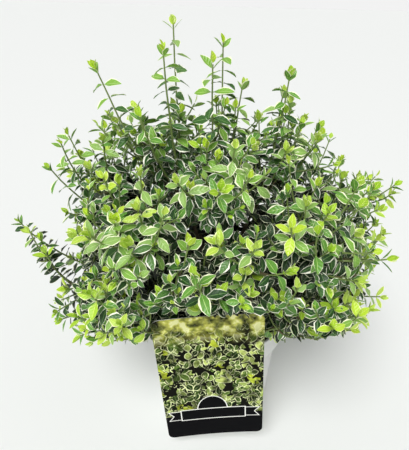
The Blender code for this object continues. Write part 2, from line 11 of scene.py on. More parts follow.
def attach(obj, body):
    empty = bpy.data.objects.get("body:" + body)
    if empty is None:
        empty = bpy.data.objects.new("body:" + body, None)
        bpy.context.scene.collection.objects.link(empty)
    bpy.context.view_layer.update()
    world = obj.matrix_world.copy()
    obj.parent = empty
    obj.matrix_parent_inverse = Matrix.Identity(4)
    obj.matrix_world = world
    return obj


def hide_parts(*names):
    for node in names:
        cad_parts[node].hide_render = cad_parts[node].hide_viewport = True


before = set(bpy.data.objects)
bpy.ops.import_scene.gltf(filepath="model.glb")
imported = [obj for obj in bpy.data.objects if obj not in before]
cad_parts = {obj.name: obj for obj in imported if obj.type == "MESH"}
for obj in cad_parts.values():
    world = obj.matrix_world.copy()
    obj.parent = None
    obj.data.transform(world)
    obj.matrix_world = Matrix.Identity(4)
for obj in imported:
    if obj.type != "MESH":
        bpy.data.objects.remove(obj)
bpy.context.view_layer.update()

MM = 0.001

# The start of every random draw, as in the solids
SEED = 20

# Pot and peat, sized as the solids
CLEARANCE = 0.3 * MM
POT_HEIGHT = 115 * MM
POT_FOOT_RADIUS = 59 * MM
POT_NECK_RADIUS = 62 * MM
POT_COLLAR_RADIUS = 67.5 * MM
POT_RIM_RADIUS = 69 * MM
POT_COLLAR_BOTTOM = 91 * MM
POT_WALL = 1.8 * MM
POT_BASE = 2.5 * MM
DRAIN_RADIUS = 4.5 * MM
DRAIN_RING = 40 * MM
DRAIN_COUNT = 6
SOIL_TOP = 102 * MM
SOIL_HUMP = 3 * MM

# Fine relief that only the looks carry: ridges round the pot, the edge of its foot, peat crumbs
RIDGE_HEIGHTS = (12 * MM, 14.2 * MM, 72 * MM, 74.2 * MM)
RIDGE = 0.35 * MM
FOOT_EDGE = 1.5 * MM
CRUMB_COUNT = 240

# Card, sized as the solid
LABEL_WIDTH = 88 * MM
LABEL_HEIGHT = 148 * MM
LABEL_THICKNESS = 0.7 * MM
LABEL_CORNER = 6 * MM
LABEL_BOW = 1.6 * MM
LABEL_FOOT = np.array([1.5 * MM, -77.5 * MM, 18.1 * MM])
LABEL_YAW = math.radians(3.2)
LABEL_TILT = math.radians(4.6)

# What is printed on the card, and how fine it is cut to follow the bow
BAND_TOP = 31 * MM
RIBBON_HEIGHT = 31 * MM
RIBBON_CREST = 37 * MM
BOX_SIZE = (59 * MM, 15 * MM)
CREST_SIZE = (13.8 * MM, 18 * MM)
TAIL_SIZE = (15 * MM, 12.4 * MM)
TAIL_PLACE = 34 * MM
TAIL_END = 39 * MM
TAIL_NOTCH = 4.5 * MM
INK_THICKNESS = 0.05 * MM
SLICE = 4 * MM
SLICE_ABOVE_BAND = 34 * MM

# Stem, boughs and the reach of the crown, as in the solids
STEM_BOTTOM = SOIL_TOP + SOIL_HUMP + CLEARANCE
CROWN_FOOT = np.array([0.0, 0.0, 120 * MM])
HEAD_RADIUS = 11.6 * MM
BOUGH_RADIUS = 2.0 * MM
BOUGH_TIP_RADIUS = 1.5 * MM
BOUGH_SHARE = 0.5
BODY_CENTRE = np.array([0.0, 5 * MM, 192 * MM])
BODY_REACH = np.array([158 * MM, 132 * MM, 104 * MM])
TIP_COUNT = 62
TIP_LOWEST = -0.16
TIP_HIGHEST = 0.98
TIP_OUTERMOST = 1.03
TIP_DEPTH = 0.42
CELL_ROOM = 5 * MM
RIGHT_LIMIT = 152 * MM
LEFT_LIMITS = ((160 * MM, 158 * MM), (195 * MM, 138 * MM))
SIDE_SLOPE = 0.4
CREST_FALL = 0.2

# Where leaves keep off the pot and the card, as in the solids
RIM_ROOM = 5 * MM
BESIDE_POT = 81 * MM
LOWEST_LEAF = 92 * MM
LABEL_SIDE = 60 * MM
LABEL_FRONT = 70 * MM
SIGHT_LINE = 171 * MM
SIGHT_START = 82 * MM
SIGHT_SLOPE = 0.95
HEM_START = 58 * MM
HEM_MIDDLE_SIDE = 72 * MM
HEM_MIDDLE = 118 * MM
HEM_SIDES = 108 * MM
HEM_SLOPE = 1.1

# Finer twigs and leaves than the solids carry: their number, sizes, and when a pair counts as open
CHOICE_COUNT = 2400
FILL_COUNT = 470
GOLDEN_SHARE = 0.618
SHOOT_POINTS = 9
TWIG_RADIUS = 1.05 * MM
TWIG_TIP_RADIUS = 0.55 * MM
TWIG_BROWN_SHARE = 0.3
CUP_LENGTH = 7.5 * MM
OPEN_SPREAD = 0.8
LEAF_ROOM = 1.9 * MM

# Where shoots fork: the shares of the stem that carry forks, and how far below its tip a shoot starts
FORK_LOWEST = 0.10
FORK_SPAN = 0.34
FILL_LENGTH = 50 * MM
GAP_LENGTHS = (30 * MM, 18 * MM, 46 * MM)

# How much nearer to the pot and the card the finer twigs and leaves come, and their uneven hem
LEAF_EASE = 4 * MM
TWIG_EASE = 5 * MM
LOWEST_FINE_LEAF = 103 * MM
HEM_UNEVEN = 3 * MM
HEM_WAVE = 4.5 * MM

# Shoots that close the gaps: how many in a shell, its share of the way out, room and depth
GAP_COUNT = 1200
GAP_SHELLS = (0.94, 0.84, 0.74, 0.64, 0.54, 0.44, 0.34)
GAP_ROOM = 9.0 * MM
GAP_DEPTH = 44 * MM

# How far the finer shoots rise out of the body near its crest, less at the front
NEAR_CREST = 45 * MM
RISES_ABOVE = 215 * MM
FRONT_OF_CROWN = -35 * MM
RISE_AT_FRONT = 16 * MM
RISE_BEHIND = 46 * MM
SLENDER_RISE = 30 * MM

# Where painted shade darkens the leaves and painted light makes them paler: shares of the way out of
# the body, heights and a side
PAINTED_SHADE_WITHIN = 0.64
OLD_AND_SHADED_WITHIN = 0.76
PAINTED_LIGHT_ABOVE = 236 * MM
LIT_ABOVE = 205 * MM
PAINTED_SHADE_LEFT_OF = -116 * MM

# Masses of foliage, as in the solids: name, angle in degrees, distance and height in millimetres
MASSES = (
    ("low_right", 2, 112, 156),
    ("low_back_right", 50, 108, 158),
    ("low_back", 92, 104, 165),
    ("low_back_left", 133, 108, 158),
    ("low_left", 181, 112, 156),
    ("low_front_left", 229, 108, 158),
    ("low_front", 271, 92, 200),
    ("low_front_right", 310, 108, 158),
    ("mid_right", 20, 92, 226),
    ("mid_back_right", 72, 84, 232),
    ("mid_back_left", 118, 84, 232),
    ("mid_left", 166, 92, 226),
    ("mid_front_left", 222, 84, 232),
    ("mid_front_right", 322, 84, 232),
    ("top_right", 8, 48, 285),
    ("top_back", 96, 44, 282),
    ("top_left", 178, 50, 288),
    ("top_front", 262, 40, 280),
)

# Highest that the shoots between the leading ones reach, as in the solids: right, up, in millimetres
CREST = ((-160, 235), (-124, 285), (-93, 298), (-55, 316), (16, 320), (58, 298), (78, 286),
         (95, 264), (152, 250))

# The same for the finer shoots, with dips between the clusters
FINE_CREST = ((-160, 235), (-124, 285), (-93, 298), (-75, 294), (-66, 276), (-56, 276), (-46, 300),
              (-20, 316), (10, 318), (18, 282), (30, 278), (42, 300), (58, 294), (78, 280), (95, 264),
              (152, 250))

# Tips of the leading shoots that stand out of the body: right, back, up, in millimetres
LEADERS = (
    (-41, 10, 366), (-47, -14, 351), (-4, 22, 354), (-12, -20, 344), (15, 38, 320),
    (47, 2, 334), (-97, -10, 337), (-129, 4, 283), (-141, -18, 262), (-176, -20, 214),
    (-64, -28, 308), (80, 12, 292), (91, -12, 266), (152, 4, 246), (120, -18, 249),
    (122, -52, 224), (141, -50, 164), (-143, -48, 146), (-118, -62, 134), (112, -74, 136),
    (-84, 62, 292), (38, 70, 284), (112, 84, 262), (-122, 88, 240),
)

# Leading shoots that end above this are slender, the others as leafy as the body
SLENDER_ABOVE = 240 * MM

# Tips of the shoots that hang over the front of the rim: right, back, up, in millimetres
FRONT_TIPS = (
    (-46, -98, 203), (-20, -106, 222), (12, -110, 232), (42, -104, 208), (-26, -92, 190),
    (8, -96, 200), (32, -90, 188), (-72, -90, 160), (70, -92, 166), (88, -78, 140),
    (-88, -78, 142),
)

# Lowest that the finer leaves hang at the front of the rim: right, up, in millimetres
FINE_HEM = ((-125, 114), (-97, 109), (-84, 109), (-72, 118), (46, 118), (56, 123), (84, 129),
            (110, 131), (130, 122))

# Tips of finer shoots that only the looks carry: right, back, up, in millimetres
FINE_TIPS = (
    (-157, -20, 181), (-150, -34, 196), (-141, -60, 144), (139, -20, 212), (-133, -22, 222),
    (-126, -14, 214), (132, 2, 232), (140, -6, 226), (-165, -20, 211), (-154, -26, 205),
    (-145, -50, 128), (-125, -62, 122), (-114, -66, 117), (-97, -72, 126), (-83, -76, 133),
    (150, 0, 238), (-104, 0, 291), (-97, 12, 297), (-85, 0, 283), (-79, 30, 276),
    (-75, 30, 296), (-42, 10, 308), (-34, 0, 305), (-20, 10, 309), (-9, 20, 309),
    (1, 10, 309), (9, 20, 306), (44, 10, 320), (48, 0, 315), (47, 5, 306),
    (61, 0, 298), (27, 20, 297), (67, 20, 296), (82, 10, 287), (4, 12, 272),
    (16, 22, 262), (14, 4, 256), (58, 34, 262), (72, 12, 250), (46, 52, 264),
    (84, 30, 246), (66, 58, 252), (-6, 26, 262),
)

# Those of them that end above this are slender too
FINE_SLENDER_ABOVE = 274 * MM

# Where most light comes from, which the open leaves turn to
BRIGHT_SIDE = np.array([-0.05, -0.27, 0.45])

# How much nearer to the middle than the outline the crown is dense: right, back, up
DENSE_PART = np.array([1.13, 1.0, 1.0])

# How pairs of leaves follow each other down a shoot. leaf is the length of a full leaf, bare the
# share of the shoot that has none, cup how much of the cup stands beyond the twig, droop and sag how
# far older leaves bend and hang. The rest are lists from the tip back: gaps in millimetres, and each
# pair's spread in radians, size, width by length, and age.
Habit = namedtuple("Habit", "leaf bare cup droop sag gaps spreads sizes shapes ages")

# The slender shoots end in a closed bud, the others in a small open cup
SLENDER = Habit(
    leaf=14.4 * MM, bare=0.14, cup=0.8, droop=0.2, sag=0.15,
    gaps=(1.2, 2.6, 6.8, 8.8),
    spreads=(0.14, 0.3, 0.8, 1.3),
    sizes=(0.52, 0.58, 0.74, 1.0),
    shapes=(0.74, 0.72, 0.5, 0.48),
    ages=("young", "young", "fresh", "fresh", "fresh", "grown", "grown", "old"),
)
LEAFY = Habit(
    leaf=11.2 * MM, bare=0.08, cup=1.0, droop=0.1, sag=0.5,
    gaps=(1.3, 2.4, 4.2, 6.0),
    spreads=(0.18, 0.46, 0.85, 1.12),
    sizes=(0.58, 0.8, 0.97, 1.06),
    shapes=(0.54, 0.54, 0.52, 0.5),
    ages=("young", "young", "young", "fresh", "grown", "grown", "old"),
)

# Without this the offsets of Blender's noise vectors would come from the clock
noise.seed_set(SEED)


# Helpers


def unit(vector):
    return vector / max(np.linalg.norm(vector), 1e-12)


def paint(red, green, blue):
    # Screen values from 0 to 255 as the linear colour that shaders use
    values = np.array([red, green, blue]) / 255
    return tuple(np.where(values <= 0.04045, values / 12.92, ((values + 0.055) / 1.055) ** 2.4))


def opaque(red, green, blue):
    return (*paint(red, green, blue), 1.0)


def deselect_all():
    bpy.ops.object.select_all(action="DESELECT")


def make_active(piece):
    deselect_all()
    piece.select_set(True)
    bpy.context.view_layer.objects.active = piece


def start_edit():
    # Edit mode with all of the active piece selected
    bpy.ops.object.mode_set(mode="EDIT")
    bpy.ops.mesh.select_all(action="SELECT")


def end_edit():
    bpy.ops.object.mode_set(mode="OBJECT")


def rename(piece, name):
    piece.name = name
    piece.data.name = name


def join_pieces(pieces):
    make_active(pieces[0])
    for piece in pieces:
        piece.select_set(True)
    bpy.ops.object.join()
    return bpy.context.active_object


def apply_modifiers(piece):
    make_active(piece)
    for modifier in list(piece.modifiers):
        bpy.ops.object.modifier_apply(modifier=modifier.name)


def smooth(piece, degrees):
    make_active(piece)
    bpy.ops.object.shade_smooth_by_angle(angle=math.radians(degrees))


def give_finishes(piece, *materials):
    piece.data.materials.clear()
    for material in materials:
        piece.data.materials.append(material)


def finish_piece(piece, slot_name, *nodes):
    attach(piece, "root")
    if nodes:
        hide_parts(*nodes)


def set_plain(material, name, value):
    socket = material.node_tree.nodes["Principled BSDF"].inputs[name]
    socket.default_value = (*value, 1.0) if isinstance(value, tuple) else value


def new_material(name, colour, roughness, **plain):
    material = bpy.data.materials.new(name)
    material.use_nodes = True
    set_plain(material, "Base Color", colour)
    set_plain(material, "Roughness", roughness)
    for key, value in plain.items():
        set_plain(material, key.replace("_", " "), value)
    return material


def node(tree, kind, **settings):
    made = tree.nodes.new(kind)
    for key, value in settings.items():
        setattr(made, key, value)
    return made


def feed(tree, value, socket):
    if isinstance(value, bpy.types.NodeSocket):
        tree.links.new(value, socket)
    else:
        socket.default_value = value


def maths(tree, operation, first, second=0.0, third=0.0):
    made = node(tree, "ShaderNodeMath", operation=operation)
    feed(tree, first, made.inputs[0])
    feed(tree, second, made.inputs[1])
    feed(tree, third, made.inputs[2])
    return made.outputs[0]


def blend_colour(tree, share, first, second):
    made = node(tree, "ShaderNodeMix", data_type="RGBA")
    feed(tree, share, made.inputs[0])
    feed(tree, first, made.inputs[6])
    feed(tree, second, made.inputs[7])
    return made.outputs[2]


def step_up(tree, value, low, high):
    made = node(tree, "ShaderNodeMapRange", interpolation_type="SMOOTHSTEP")
    feed(tree, value, made.inputs[0])
    made.inputs[1].default_value = low
    made.inputs[2].default_value = high
    return made.outputs[0]


def noise_of(tree, vector, scale, detail=3.0, roughness=0.55):
    made = node(tree, "ShaderNodeTexNoise")
    feed(tree, vector, made.inputs["Vector"])
    made.inputs["Scale"].default_value = scale
    made.inputs["Detail"].default_value = detail
    made.inputs["Roughness"].default_value = roughness
    return made


def colour_ramp(tree, value, first, last, *between):
    # Each stop is its share of the way and its colour in screen values
    made = node(tree, "ShaderNodeValToRGB")
    feed(tree, value, made.inputs[0])
    stops = made.color_ramp.elements
    for index, (share, colour) in enumerate((first, last)):
        stops[index].position = share
        stops[index].color = opaque(*colour)
    for share, colour in between:
        stops.new(share).color = opaque(*colour)
    return made.outputs[0]


def object_place(tree):
    return node(tree, "ShaderNodeTexCoord").outputs["Object"]


def split(tree, vector):
    made = node(tree, "ShaderNodeSeparateXYZ")
    feed(tree, vector, made.inputs[0])
    return made.outputs


def feed_surface(tree, name, value):
    feed(tree, value, tree.nodes["Principled BSDF"].inputs[name])


def add_bump(tree, height, strength, distance):
    bump = node(tree, "ShaderNodeBump")
    bump.inputs["Strength"].default_value = strength
    bump.inputs["Distance"].default_value = distance
    feed(tree, height, bump.inputs["Height"])
    feed_surface(tree, "Normal", bump.outputs["Normal"])


# The grain that several finishes share


def make_grain_group():
    # Two sizes of unevenness: a cloudy mask for stains and a height for fine relief
    group = bpy.data.node_groups.new("surface_grain", "ShaderNodeTree")
    group.interface.new_socket("Vector", in_out="INPUT", socket_type="NodeSocketVector")
    group.interface.new_socket("Cloud Scale", in_out="INPUT", socket_type="NodeSocketFloat")
    group.interface.new_socket("Grain Scale", in_out="INPUT", socket_type="NodeSocketFloat")
    group.interface.new_socket("Cloud", in_out="OUTPUT", socket_type="NodeSocketFloat")
    group.interface.new_socket("Height", in_out="OUTPUT", socket_type="NodeSocketFloat")
    start = node(group, "NodeGroupInput")
    end = node(group, "NodeGroupOutput")
    cloud = noise_of(group, start.outputs["Vector"], 20.0, 4.0)
    group.links.new(start.outputs["Cloud Scale"], cloud.inputs["Scale"])
    grain = noise_of(group, start.outputs["Vector"], 900.0, 2.0)
    group.links.new(start.outputs["Grain Scale"], grain.inputs["Scale"])
    group.links.new(cloud.outputs[0], end.inputs["Cloud"])
    height = maths(group, "MULTIPLY_ADD", cloud.outputs[0], 0.3, grain.outputs[0])
    group.links.new(height, end.inputs["Height"])
    return group


GRAIN = make_grain_group()


def start_finish(name, colour, roughness, cloud_scale, grain_scale):
    # A new material with the grain in it: its tree, and the grain's cloud and height
    material = new_material(name, paint(*colour), roughness)
    tree = material.node_tree
    grain = node(tree, "ShaderNodeGroup", node_tree=GRAIN)
    feed(tree, object_place(tree), grain.inputs["Vector"])
    grain.inputs["Cloud Scale"].default_value = cloud_scale
    grain.inputs["Grain Scale"].default_value = grain_scale
    return material, tree, grain.outputs["Cloud"], grain.outputs["Height"]


# Finishes


def make_pot_plastic():
    # White plastic with dull patches, stained towards the foot, and fine moulding rings
    white = (224, 225, 222)
    material, tree, cloud, grain = start_finish("white_pot_plastic", white, 0.38, 26.0, 1500.0)
    height = split(tree, object_place(tree))[2]
    low = step_up(tree, height, 16 * MM, 2 * MM)
    stain = maths(tree, "MULTIPLY", step_up(tree, cloud, 0.5, 0.74),
                  maths(tree, "MULTIPLY_ADD", low, 0.5, 0.16))
    colour = blend_colour(tree, stain, opaque(*white), opaque(166, 158, 142))
    feed_surface(tree, "Base Color", colour)
    feed_surface(tree, "Roughness", maths(tree, "MULTIPLY_ADD", cloud, 0.3, 0.25))
    rings = maths(tree, "SINE", maths(tree, "MULTIPLY", height, 2900.0))
    add_bump(tree, maths(tree, "MULTIPLY_ADD", rings, 0.12, grain), 0.25, 0.15 * MM)
    return material


def make_peat():
    material, tree, _, grain = start_finish("moist_peat", (48, 36, 28), 0.95, 120.0, 700.0)
    colour = colour_ramp(tree, grain, (0.38, (26, 19, 15)), (0.92, (96, 74, 54)))
    feed_surface(tree, "Base Color", colour)
    add_bump(tree, grain, 0.9, 1.2 * MM)
    return material


def make_hook_plastic():
    material, tree, cloud, grain = start_finish("black_strap_plastic", (28, 28, 30), 0.45, 60.0, 2200.0)
    colour = blend_colour(tree, cloud, opaque(22, 22, 24), opaque(44, 44, 45))
    feed_surface(tree, "Base Color", colour)
    feed_surface(tree, "Roughness", maths(tree, "MULTIPLY_ADD", cloud, 0.3, 0.3))
    add_bump(tree, grain, 0.3, 0.1 * MM)
    return material


def make_bark():
    material, tree, cloud, grain = start_finish("grey_green_bark", (118, 108, 84), 0.85, 90.0, 900.0)
    colour = colour_ramp(tree, cloud, (0.34, (70, 60, 46)), (0.66, (134, 128, 98)))
    feed_surface(tree, "Base Color", colour)
    add_bump(tree, grain, 0.8, 0.5 * MM)
    return material


def make_card_stock():
    material, tree, cloud, grain = start_finish("pale_card_stock", (232, 234, 226), 0.5, 70.0, 3000.0)
    colour = blend_colour(tree, cloud, opaque(224, 226, 216), opaque(240, 241, 235))
    feed_surface(tree, "Base Color", colour)
    add_bump(tree, grain, 0.2, 0.05 * MM)
    return material


def make_ink(name, colour):
    return new_material(name, paint(*colour), 0.55, Specular_IOR_Level=0.03)


# The card's picture, in shares of the card's height

PRINT_DRIFT = 0.016
PRINT_SQUEEZE = 0.84
PRINT_SHADOW = 0.014
PRINT_EDGE = (0.0062, 0.0040)
PRINT_VEIN = (0.0022, 0.0008)
PRINT_SOFTNESS = 0.0006
PRINT_PALE = (240, 248, 188)
PRINT_LIME = (210, 226, 60)
PRINT_DARK = (18, 18, 12)
INK_DARK = (8, 8, 11)
INK_PALE = (250, 250, 244)

# Layers of printed sprigs: how small, leaves in each, leaf length and half width, how open
PRINT_LAYERS = (
    (11.5, 4, 0.054, 0.0180, 0.40),
    (9.5, 2, 0.066, 0.0220, 0.46),
    (9.0, 4, 0.068, 0.0220, 0.50),
    (8.0, 5, 0.074, 0.0230, 0.53),
    (7.2, 4, 0.078, 0.0250, 0.56),
)


def petal_place(tree, flat, scale, petals):
    # The nearest printed sprig: a place along and across its leaf, and three random numbers
    cells = node(tree, "ShaderNodeTexVoronoi", voronoi_dimensions="2D", feature="F1")
    feed(tree, flat, cells.inputs["Vector"])
    cells.inputs["Scale"].default_value = scale
    cells.inputs["Randomness"].default_value = 0.85
    away = node(tree, "ShaderNodeVectorMath", operation="SUBTRACT")
    feed(tree, flat, away.inputs[0])
    feed(tree, cells.outputs["Position"], away.inputs[1])
    right, up = split(tree, away.outputs[0])[0:2]
    tones = node(tree, "ShaderNodeSeparateColor")
    feed(tree, cells.outputs["Color"], tones.inputs[0])
    share = 2 * math.pi / petals
    turn = maths(tree, "MULTIPLY_ADD", tones.outputs[2], 2 * math.pi,
                 maths(tree, "ARCTAN2", up, right))
    turn = maths(tree, "FRACT", maths(tree, "MULTIPLY_ADD", turn, 1 / share, 8.0))
    turn = maths(tree, "MULTIPLY_ADD", turn, share, -share / 2)
    reach = maths(tree, "SQRT", maths(tree, "MULTIPLY_ADD", right, right,
                                      maths(tree, "MULTIPLY", up, up)))
    along = maths(tree, "MULTIPLY", reach, maths(tree, "COSINE", turn))
    out = maths(tree, "ABSOLUTE", maths(tree, "MULTIPLY", reach, maths(tree, "SINE", turn)))
    return along, out, tones.outputs


def sprig_layer(tree, flat, scale, petals, length, half):
    # Printed sprigs of pale-edged leaves: where they are, their shadow, look and a random number
    along, out, tones = petal_place(tree, flat, scale, petals)
    size = maths(tree, "MULTIPLY_ADD", tones[1], 0.45, 0.75)
    middle = maths(tree, "DIVIDE", along, maths(tree, "MULTIPLY", size, length / 2))
    middle = maths(tree, "SUBTRACT", middle, 1.0)
    swell = maths(tree, "MULTIPLY_ADD", maths(tree, "MULTIPLY", middle, middle), -1.0, 1.0)
    edge = maths(tree, "SUBTRACT", maths(tree, "MULTIPLY", swell, half), out)
    mask = step_up(tree, edge, -PRINT_SOFTNESS, PRINT_SOFTNESS)
    shadow = step_up(tree, edge, -PRINT_SHADOW, 0.0)
    rim = step_up(tree, edge, *PRINT_EDGE)
    vein = step_up(tree, out, *PRINT_VEIN)
    tone = colour_ramp(tree, tones[0], (0.0, (14, 28, 8)), (1.0, (206, 222, 122)),
                       (0.3, (42, 68, 22)), (0.6, (100, 132, 50)))
    leaf = blend_colour(tree, maths(tree, "MULTIPLY", vein, 0.25), tone, opaque(*PRINT_PALE))
    return mask, shadow, blend_colour(tree, rim, leaf, opaque(*PRINT_PALE)), tones[2]


def leaf_bed(tree, flat):
    # The layers over a dark ground, each with its own gaps, some of the sprigs lime green
    bright = step_up(tree, noise_of(tree, flat, 6.3, 1.0).outputs[0], 0.60, 0.64)
    dark = opaque(*PRINT_DARK)
    picture = dark
    for index, (scale, petals, length, half, open_share) in enumerate(PRINT_LAYERS):
        shifted = node(tree, "ShaderNodeMapping")
        feed(tree, flat, shifted.inputs["Vector"])
        shifted.inputs["Location"].default_value = (1.37 * index, 2.11 * index, 0.0)
        mask, shadow, leaf, pick = sprig_layer(tree, shifted.outputs[0], scale, petals, length, half)
        lime = maths(tree, "MULTIPLY", bright, step_up(tree, pick, 0.3, 0.45))
        leaf = blend_colour(tree, maths(tree, "MULTIPLY", lime, 0.8), leaf, opaque(*PRINT_LIME))
        spread = noise_of(tree, shifted.outputs[0], 9.0 + index, 2.0).outputs[0]
        here = step_up(tree, spread, open_share, open_share + 0.02)
        shade = maths(tree, "MULTIPLY", maths(tree, "MULTIPLY", shadow, here), 0.9)
        picture = blend_colour(tree, shade, picture, dark)
        picture = blend_colour(tree, maths(tree, "MULTIPLY", mask, here), picture, leaf)
    shaded = step_up(tree, noise_of(tree, flat, 14.0, 2.0).outputs[0], 0.62, 0.36)
    return blend_colour(tree, maths(tree, "MULTIPLY", shaded, 0.72), picture, dark)


def drifting_place(tree, flat):
    # The place on the card, wandering a little and squeezed, so that no two leaves are alike
    drift = noise_of(tree, flat, 22.0, 2.0)
    bent = node(tree, "ShaderNodeVectorMath", operation="MULTIPLY_ADD")
    feed(tree, drift.outputs["Color"], bent.inputs[0])
    bent.inputs[1].default_value = (PRINT_DRIFT, PRINT_DRIFT, 0.0)
    feed(tree, flat, bent.inputs[2])
    squeezed = node(tree, "ShaderNodeVectorMath", operation="MULTIPLY")
    feed(tree, bent.outputs[0], squeezed.inputs[0])
    squeezed.inputs[1].default_value = (1.0, PRINT_SQUEEZE, 1.0)
    return squeezed.outputs[0]


def make_print():
    # A made-up bed of variegated leaves: soft and yellowish above, crisp below, a dark foot
    material = make_ink("printed_leaf_picture", (120, 140, 80))
    tree = material.node_tree
    flat = node(tree, "ShaderNodeUVMap", uv_map="card").outputs[0]
    up = split(tree, flat)[1]
    leaves = leaf_bed(tree, drifting_place(tree, flat))
    soft = colour_ramp(tree, noise_of(tree, flat, 15.0, 2.2).outputs[0],
                       (0.36, (36, 38, 20)), (0.62, (252, 252, 184)),
                       (0.48, (146, 148, 72)), (0.56, (218, 218, 104)))
    far = maths(tree, "MULTIPLY", step_up(tree, up, 0.78, 0.95), 0.85)
    picture = blend_colour(tree, far, leaves, soft)
    band = BAND_TOP / LABEL_HEIGHT
    foot = step_up(tree, up, band + 0.001, band - 0.001)
    feed_surface(tree, "Base Color", blend_colour(tree, foot, picture, opaque(*INK_DARK)))
    return material


# Pot and peat


def spin_profile(name, profile, steps):
    # A point drawn along the profile in edit mode and spun round the upright axis
    deselect_all()
    bpy.ops.mesh.primitive_plane_add(size=1 * MM, location=(0, 0, 0))
    piece = bpy.context.active_object
    rename(piece, name)
    start_edit()
    bpy.ops.mesh.merge(type="CENTER")
    radius, height = profile[0]
    bpy.ops.transform.translate(value=(radius, 0, height))
    for next_radius, next_height in profile[1:]:
        way = (next_radius - radius, 0, next_height - height)
        bpy.ops.mesh.extrude_vertices_move(TRANSFORM_OT_translate={"value": way})
        radius, height = next_radius, next_height
    bpy.ops.mesh.select_all(action="SELECT")
    bpy.ops.mesh.spin(steps=steps, angle=2 * math.pi, center=(0, 0, 0), axis=(0, 0, 1))
    bpy.ops.mesh.select_all(action="SELECT")
    bpy.ops.mesh.remove_doubles(threshold=0.01 * MM)
    bpy.ops.mesh.normals_make_consistent(inside=False)
    end_edit()
    return piece


def pot_inner_radius(height):
    share = (height - POT_BASE) / (POT_COLLAR_BOTTOM - POT_BASE)
    return POT_FOOT_RADIUS - POT_WALL + share * (POT_NECK_RADIUS - POT_FOOT_RADIUS)


def pot_outer_radius(height):
    share = (height - FOOT_EDGE) / (POT_COLLAR_BOTTOM - FOOT_EDGE)
    return POT_FOOT_RADIUS + share * (POT_NECK_RADIUS - POT_FOOT_RADIUS)


def wall_profile():
    # The hollowed underside, the rounded foot and the wall with its fine ridges
    outside = [(0.0, 0.8 * MM), (POT_FOOT_RADIUS - 9 * MM, 0.8 * MM),
               (POT_FOOT_RADIUS - 8.2 * MM, 0.0), (POT_FOOT_RADIUS - FOOT_EDGE, 0.0),
               (POT_FOOT_RADIUS, FOOT_EDGE)]
    for start in RIDGE_HEIGHTS:
        radius = pot_outer_radius(start)
        outside.append((radius, start))
        outside.append((radius + RIDGE, start + 0.5 * MM))
        outside.append((radius + RIDGE, start + 1.1 * MM))
        outside.append((radius, start + 1.6 * MM))
    return outside


def collar_profile():
    return [(POT_NECK_RADIUS, POT_COLLAR_BOTTOM),
            (POT_COLLAR_RADIUS - 0.8 * MM, POT_COLLAR_BOTTOM),
            (POT_COLLAR_RADIUS, POT_COLLAR_BOTTOM + 0.8 * MM),
            (POT_RIM_RADIUS - 1.0 * MM, POT_HEIGHT - 4.6 * MM),
            (POT_RIM_RADIUS - 0.2 * MM, POT_HEIGHT - 3.6 * MM),
            (POT_RIM_RADIUS, POT_HEIGHT - 2.4 * MM),
            (POT_RIM_RADIUS, POT_HEIGHT - 0.8 * MM),
            (POT_RIM_RADIUS - 0.3 * MM, POT_HEIGHT - 0.2 * MM),
            (POT_RIM_RADIUS - 0.8 * MM, POT_HEIGHT)]


def inner_profile():
    collar_floor = POT_COLLAR_BOTTOM + POT_WALL
    return [(POT_RIM_RADIUS - POT_WALL, POT_HEIGHT),
            (POT_RIM_RADIUS - POT_WALL - 0.4 * MM, POT_HEIGHT - 0.4 * MM),
            (POT_COLLAR_RADIUS - POT_WALL, collar_floor + 0.4 * MM),
            (pot_inner_radius(collar_floor), collar_floor),
            (pot_inner_radius(POT_BASE), POT_BASE),
            (0.0, POT_BASE)]


def cut_drain_holes(pot):
    cutters = []
    for index in range(DRAIN_COUNT):
        angle = 2 * math.pi * (index + 0.5) / DRAIN_COUNT
        place = (DRAIN_RING * math.cos(angle), DRAIN_RING * math.sin(angle), 1.5 * MM)
        deselect_all()
        bpy.ops.mesh.primitive_cylinder_add(vertices=24, radius=DRAIN_RADIUS, depth=8 * MM,
                                            location=place)
        cutters.append(bpy.context.active_object)
    tool = join_pieces(cutters)
    holes = pot.modifiers.new("holes", "BOOLEAN")
    holes.object = tool
    holes.operation = "DIFFERENCE"
    holes.solver = "EXACT"
    apply_modifiers(pot)
    bpy.data.objects.remove(tool, do_unlink=True)


def model_pot():
    pot = spin_profile("pot_shell", wall_profile() + collar_profile() + inner_profile(), 96)
    cut_drain_holes(pot)
    rounding = pot.modifiers.new("rounding", "BEVEL")
    rounding.width = 0.25 * MM
    rounding.segments = 2
    rounding.limit_method = "ANGLE"
    rounding.angle_limit = math.radians(40)
    apply_modifiers(pot)
    smooth(pot, 38)
    give_finishes(pot, make_pot_plastic())
    finish_piece(pot, "pot", "pot")


def soil_height(x, y):
    # The mounded top of the peat with lumps of two sizes
    middle_share = max(0.0, 1 - math.hypot(x, y) / POT_COLLAR_RADIUS)
    mound = SOIL_TOP - 1.4 * MM + (SOIL_HUMP + 0.6 * MM) * middle_share ** 0.7
    large = noise.noise(Vector((x, y, 0.0)) * 150)
    small = noise.noise(Vector((x, y, 0.02)) * 420)
    return min(mound + (large * 1.1 + small * 0.6) * MM * 0.8, STEM_BOTTOM + 0.4 * MM)


def peat_profile():
    # Up the inside of the pot, over its step and in across the top
    step = POT_COLLAR_BOTTOM + POT_WALL + 0.4 * MM + CLEARANCE
    collar = POT_COLLAR_RADIUS - POT_WALL - CLEARANCE
    low = POT_BASE + CLEARANCE
    profile = [(0.0, low), (pot_inner_radius(low) - CLEARANCE, low),
               (pot_inner_radius(step) - CLEARANCE, step + CLEARANCE),
               (collar - 0.3 * MM, step + 2 * CLEARANCE), (collar, SOIL_TOP - 1.6 * MM)]
    for share in np.linspace(0.98, 0.0, 50):
        profile.append((float(collar * share), SOIL_TOP))
    return profile


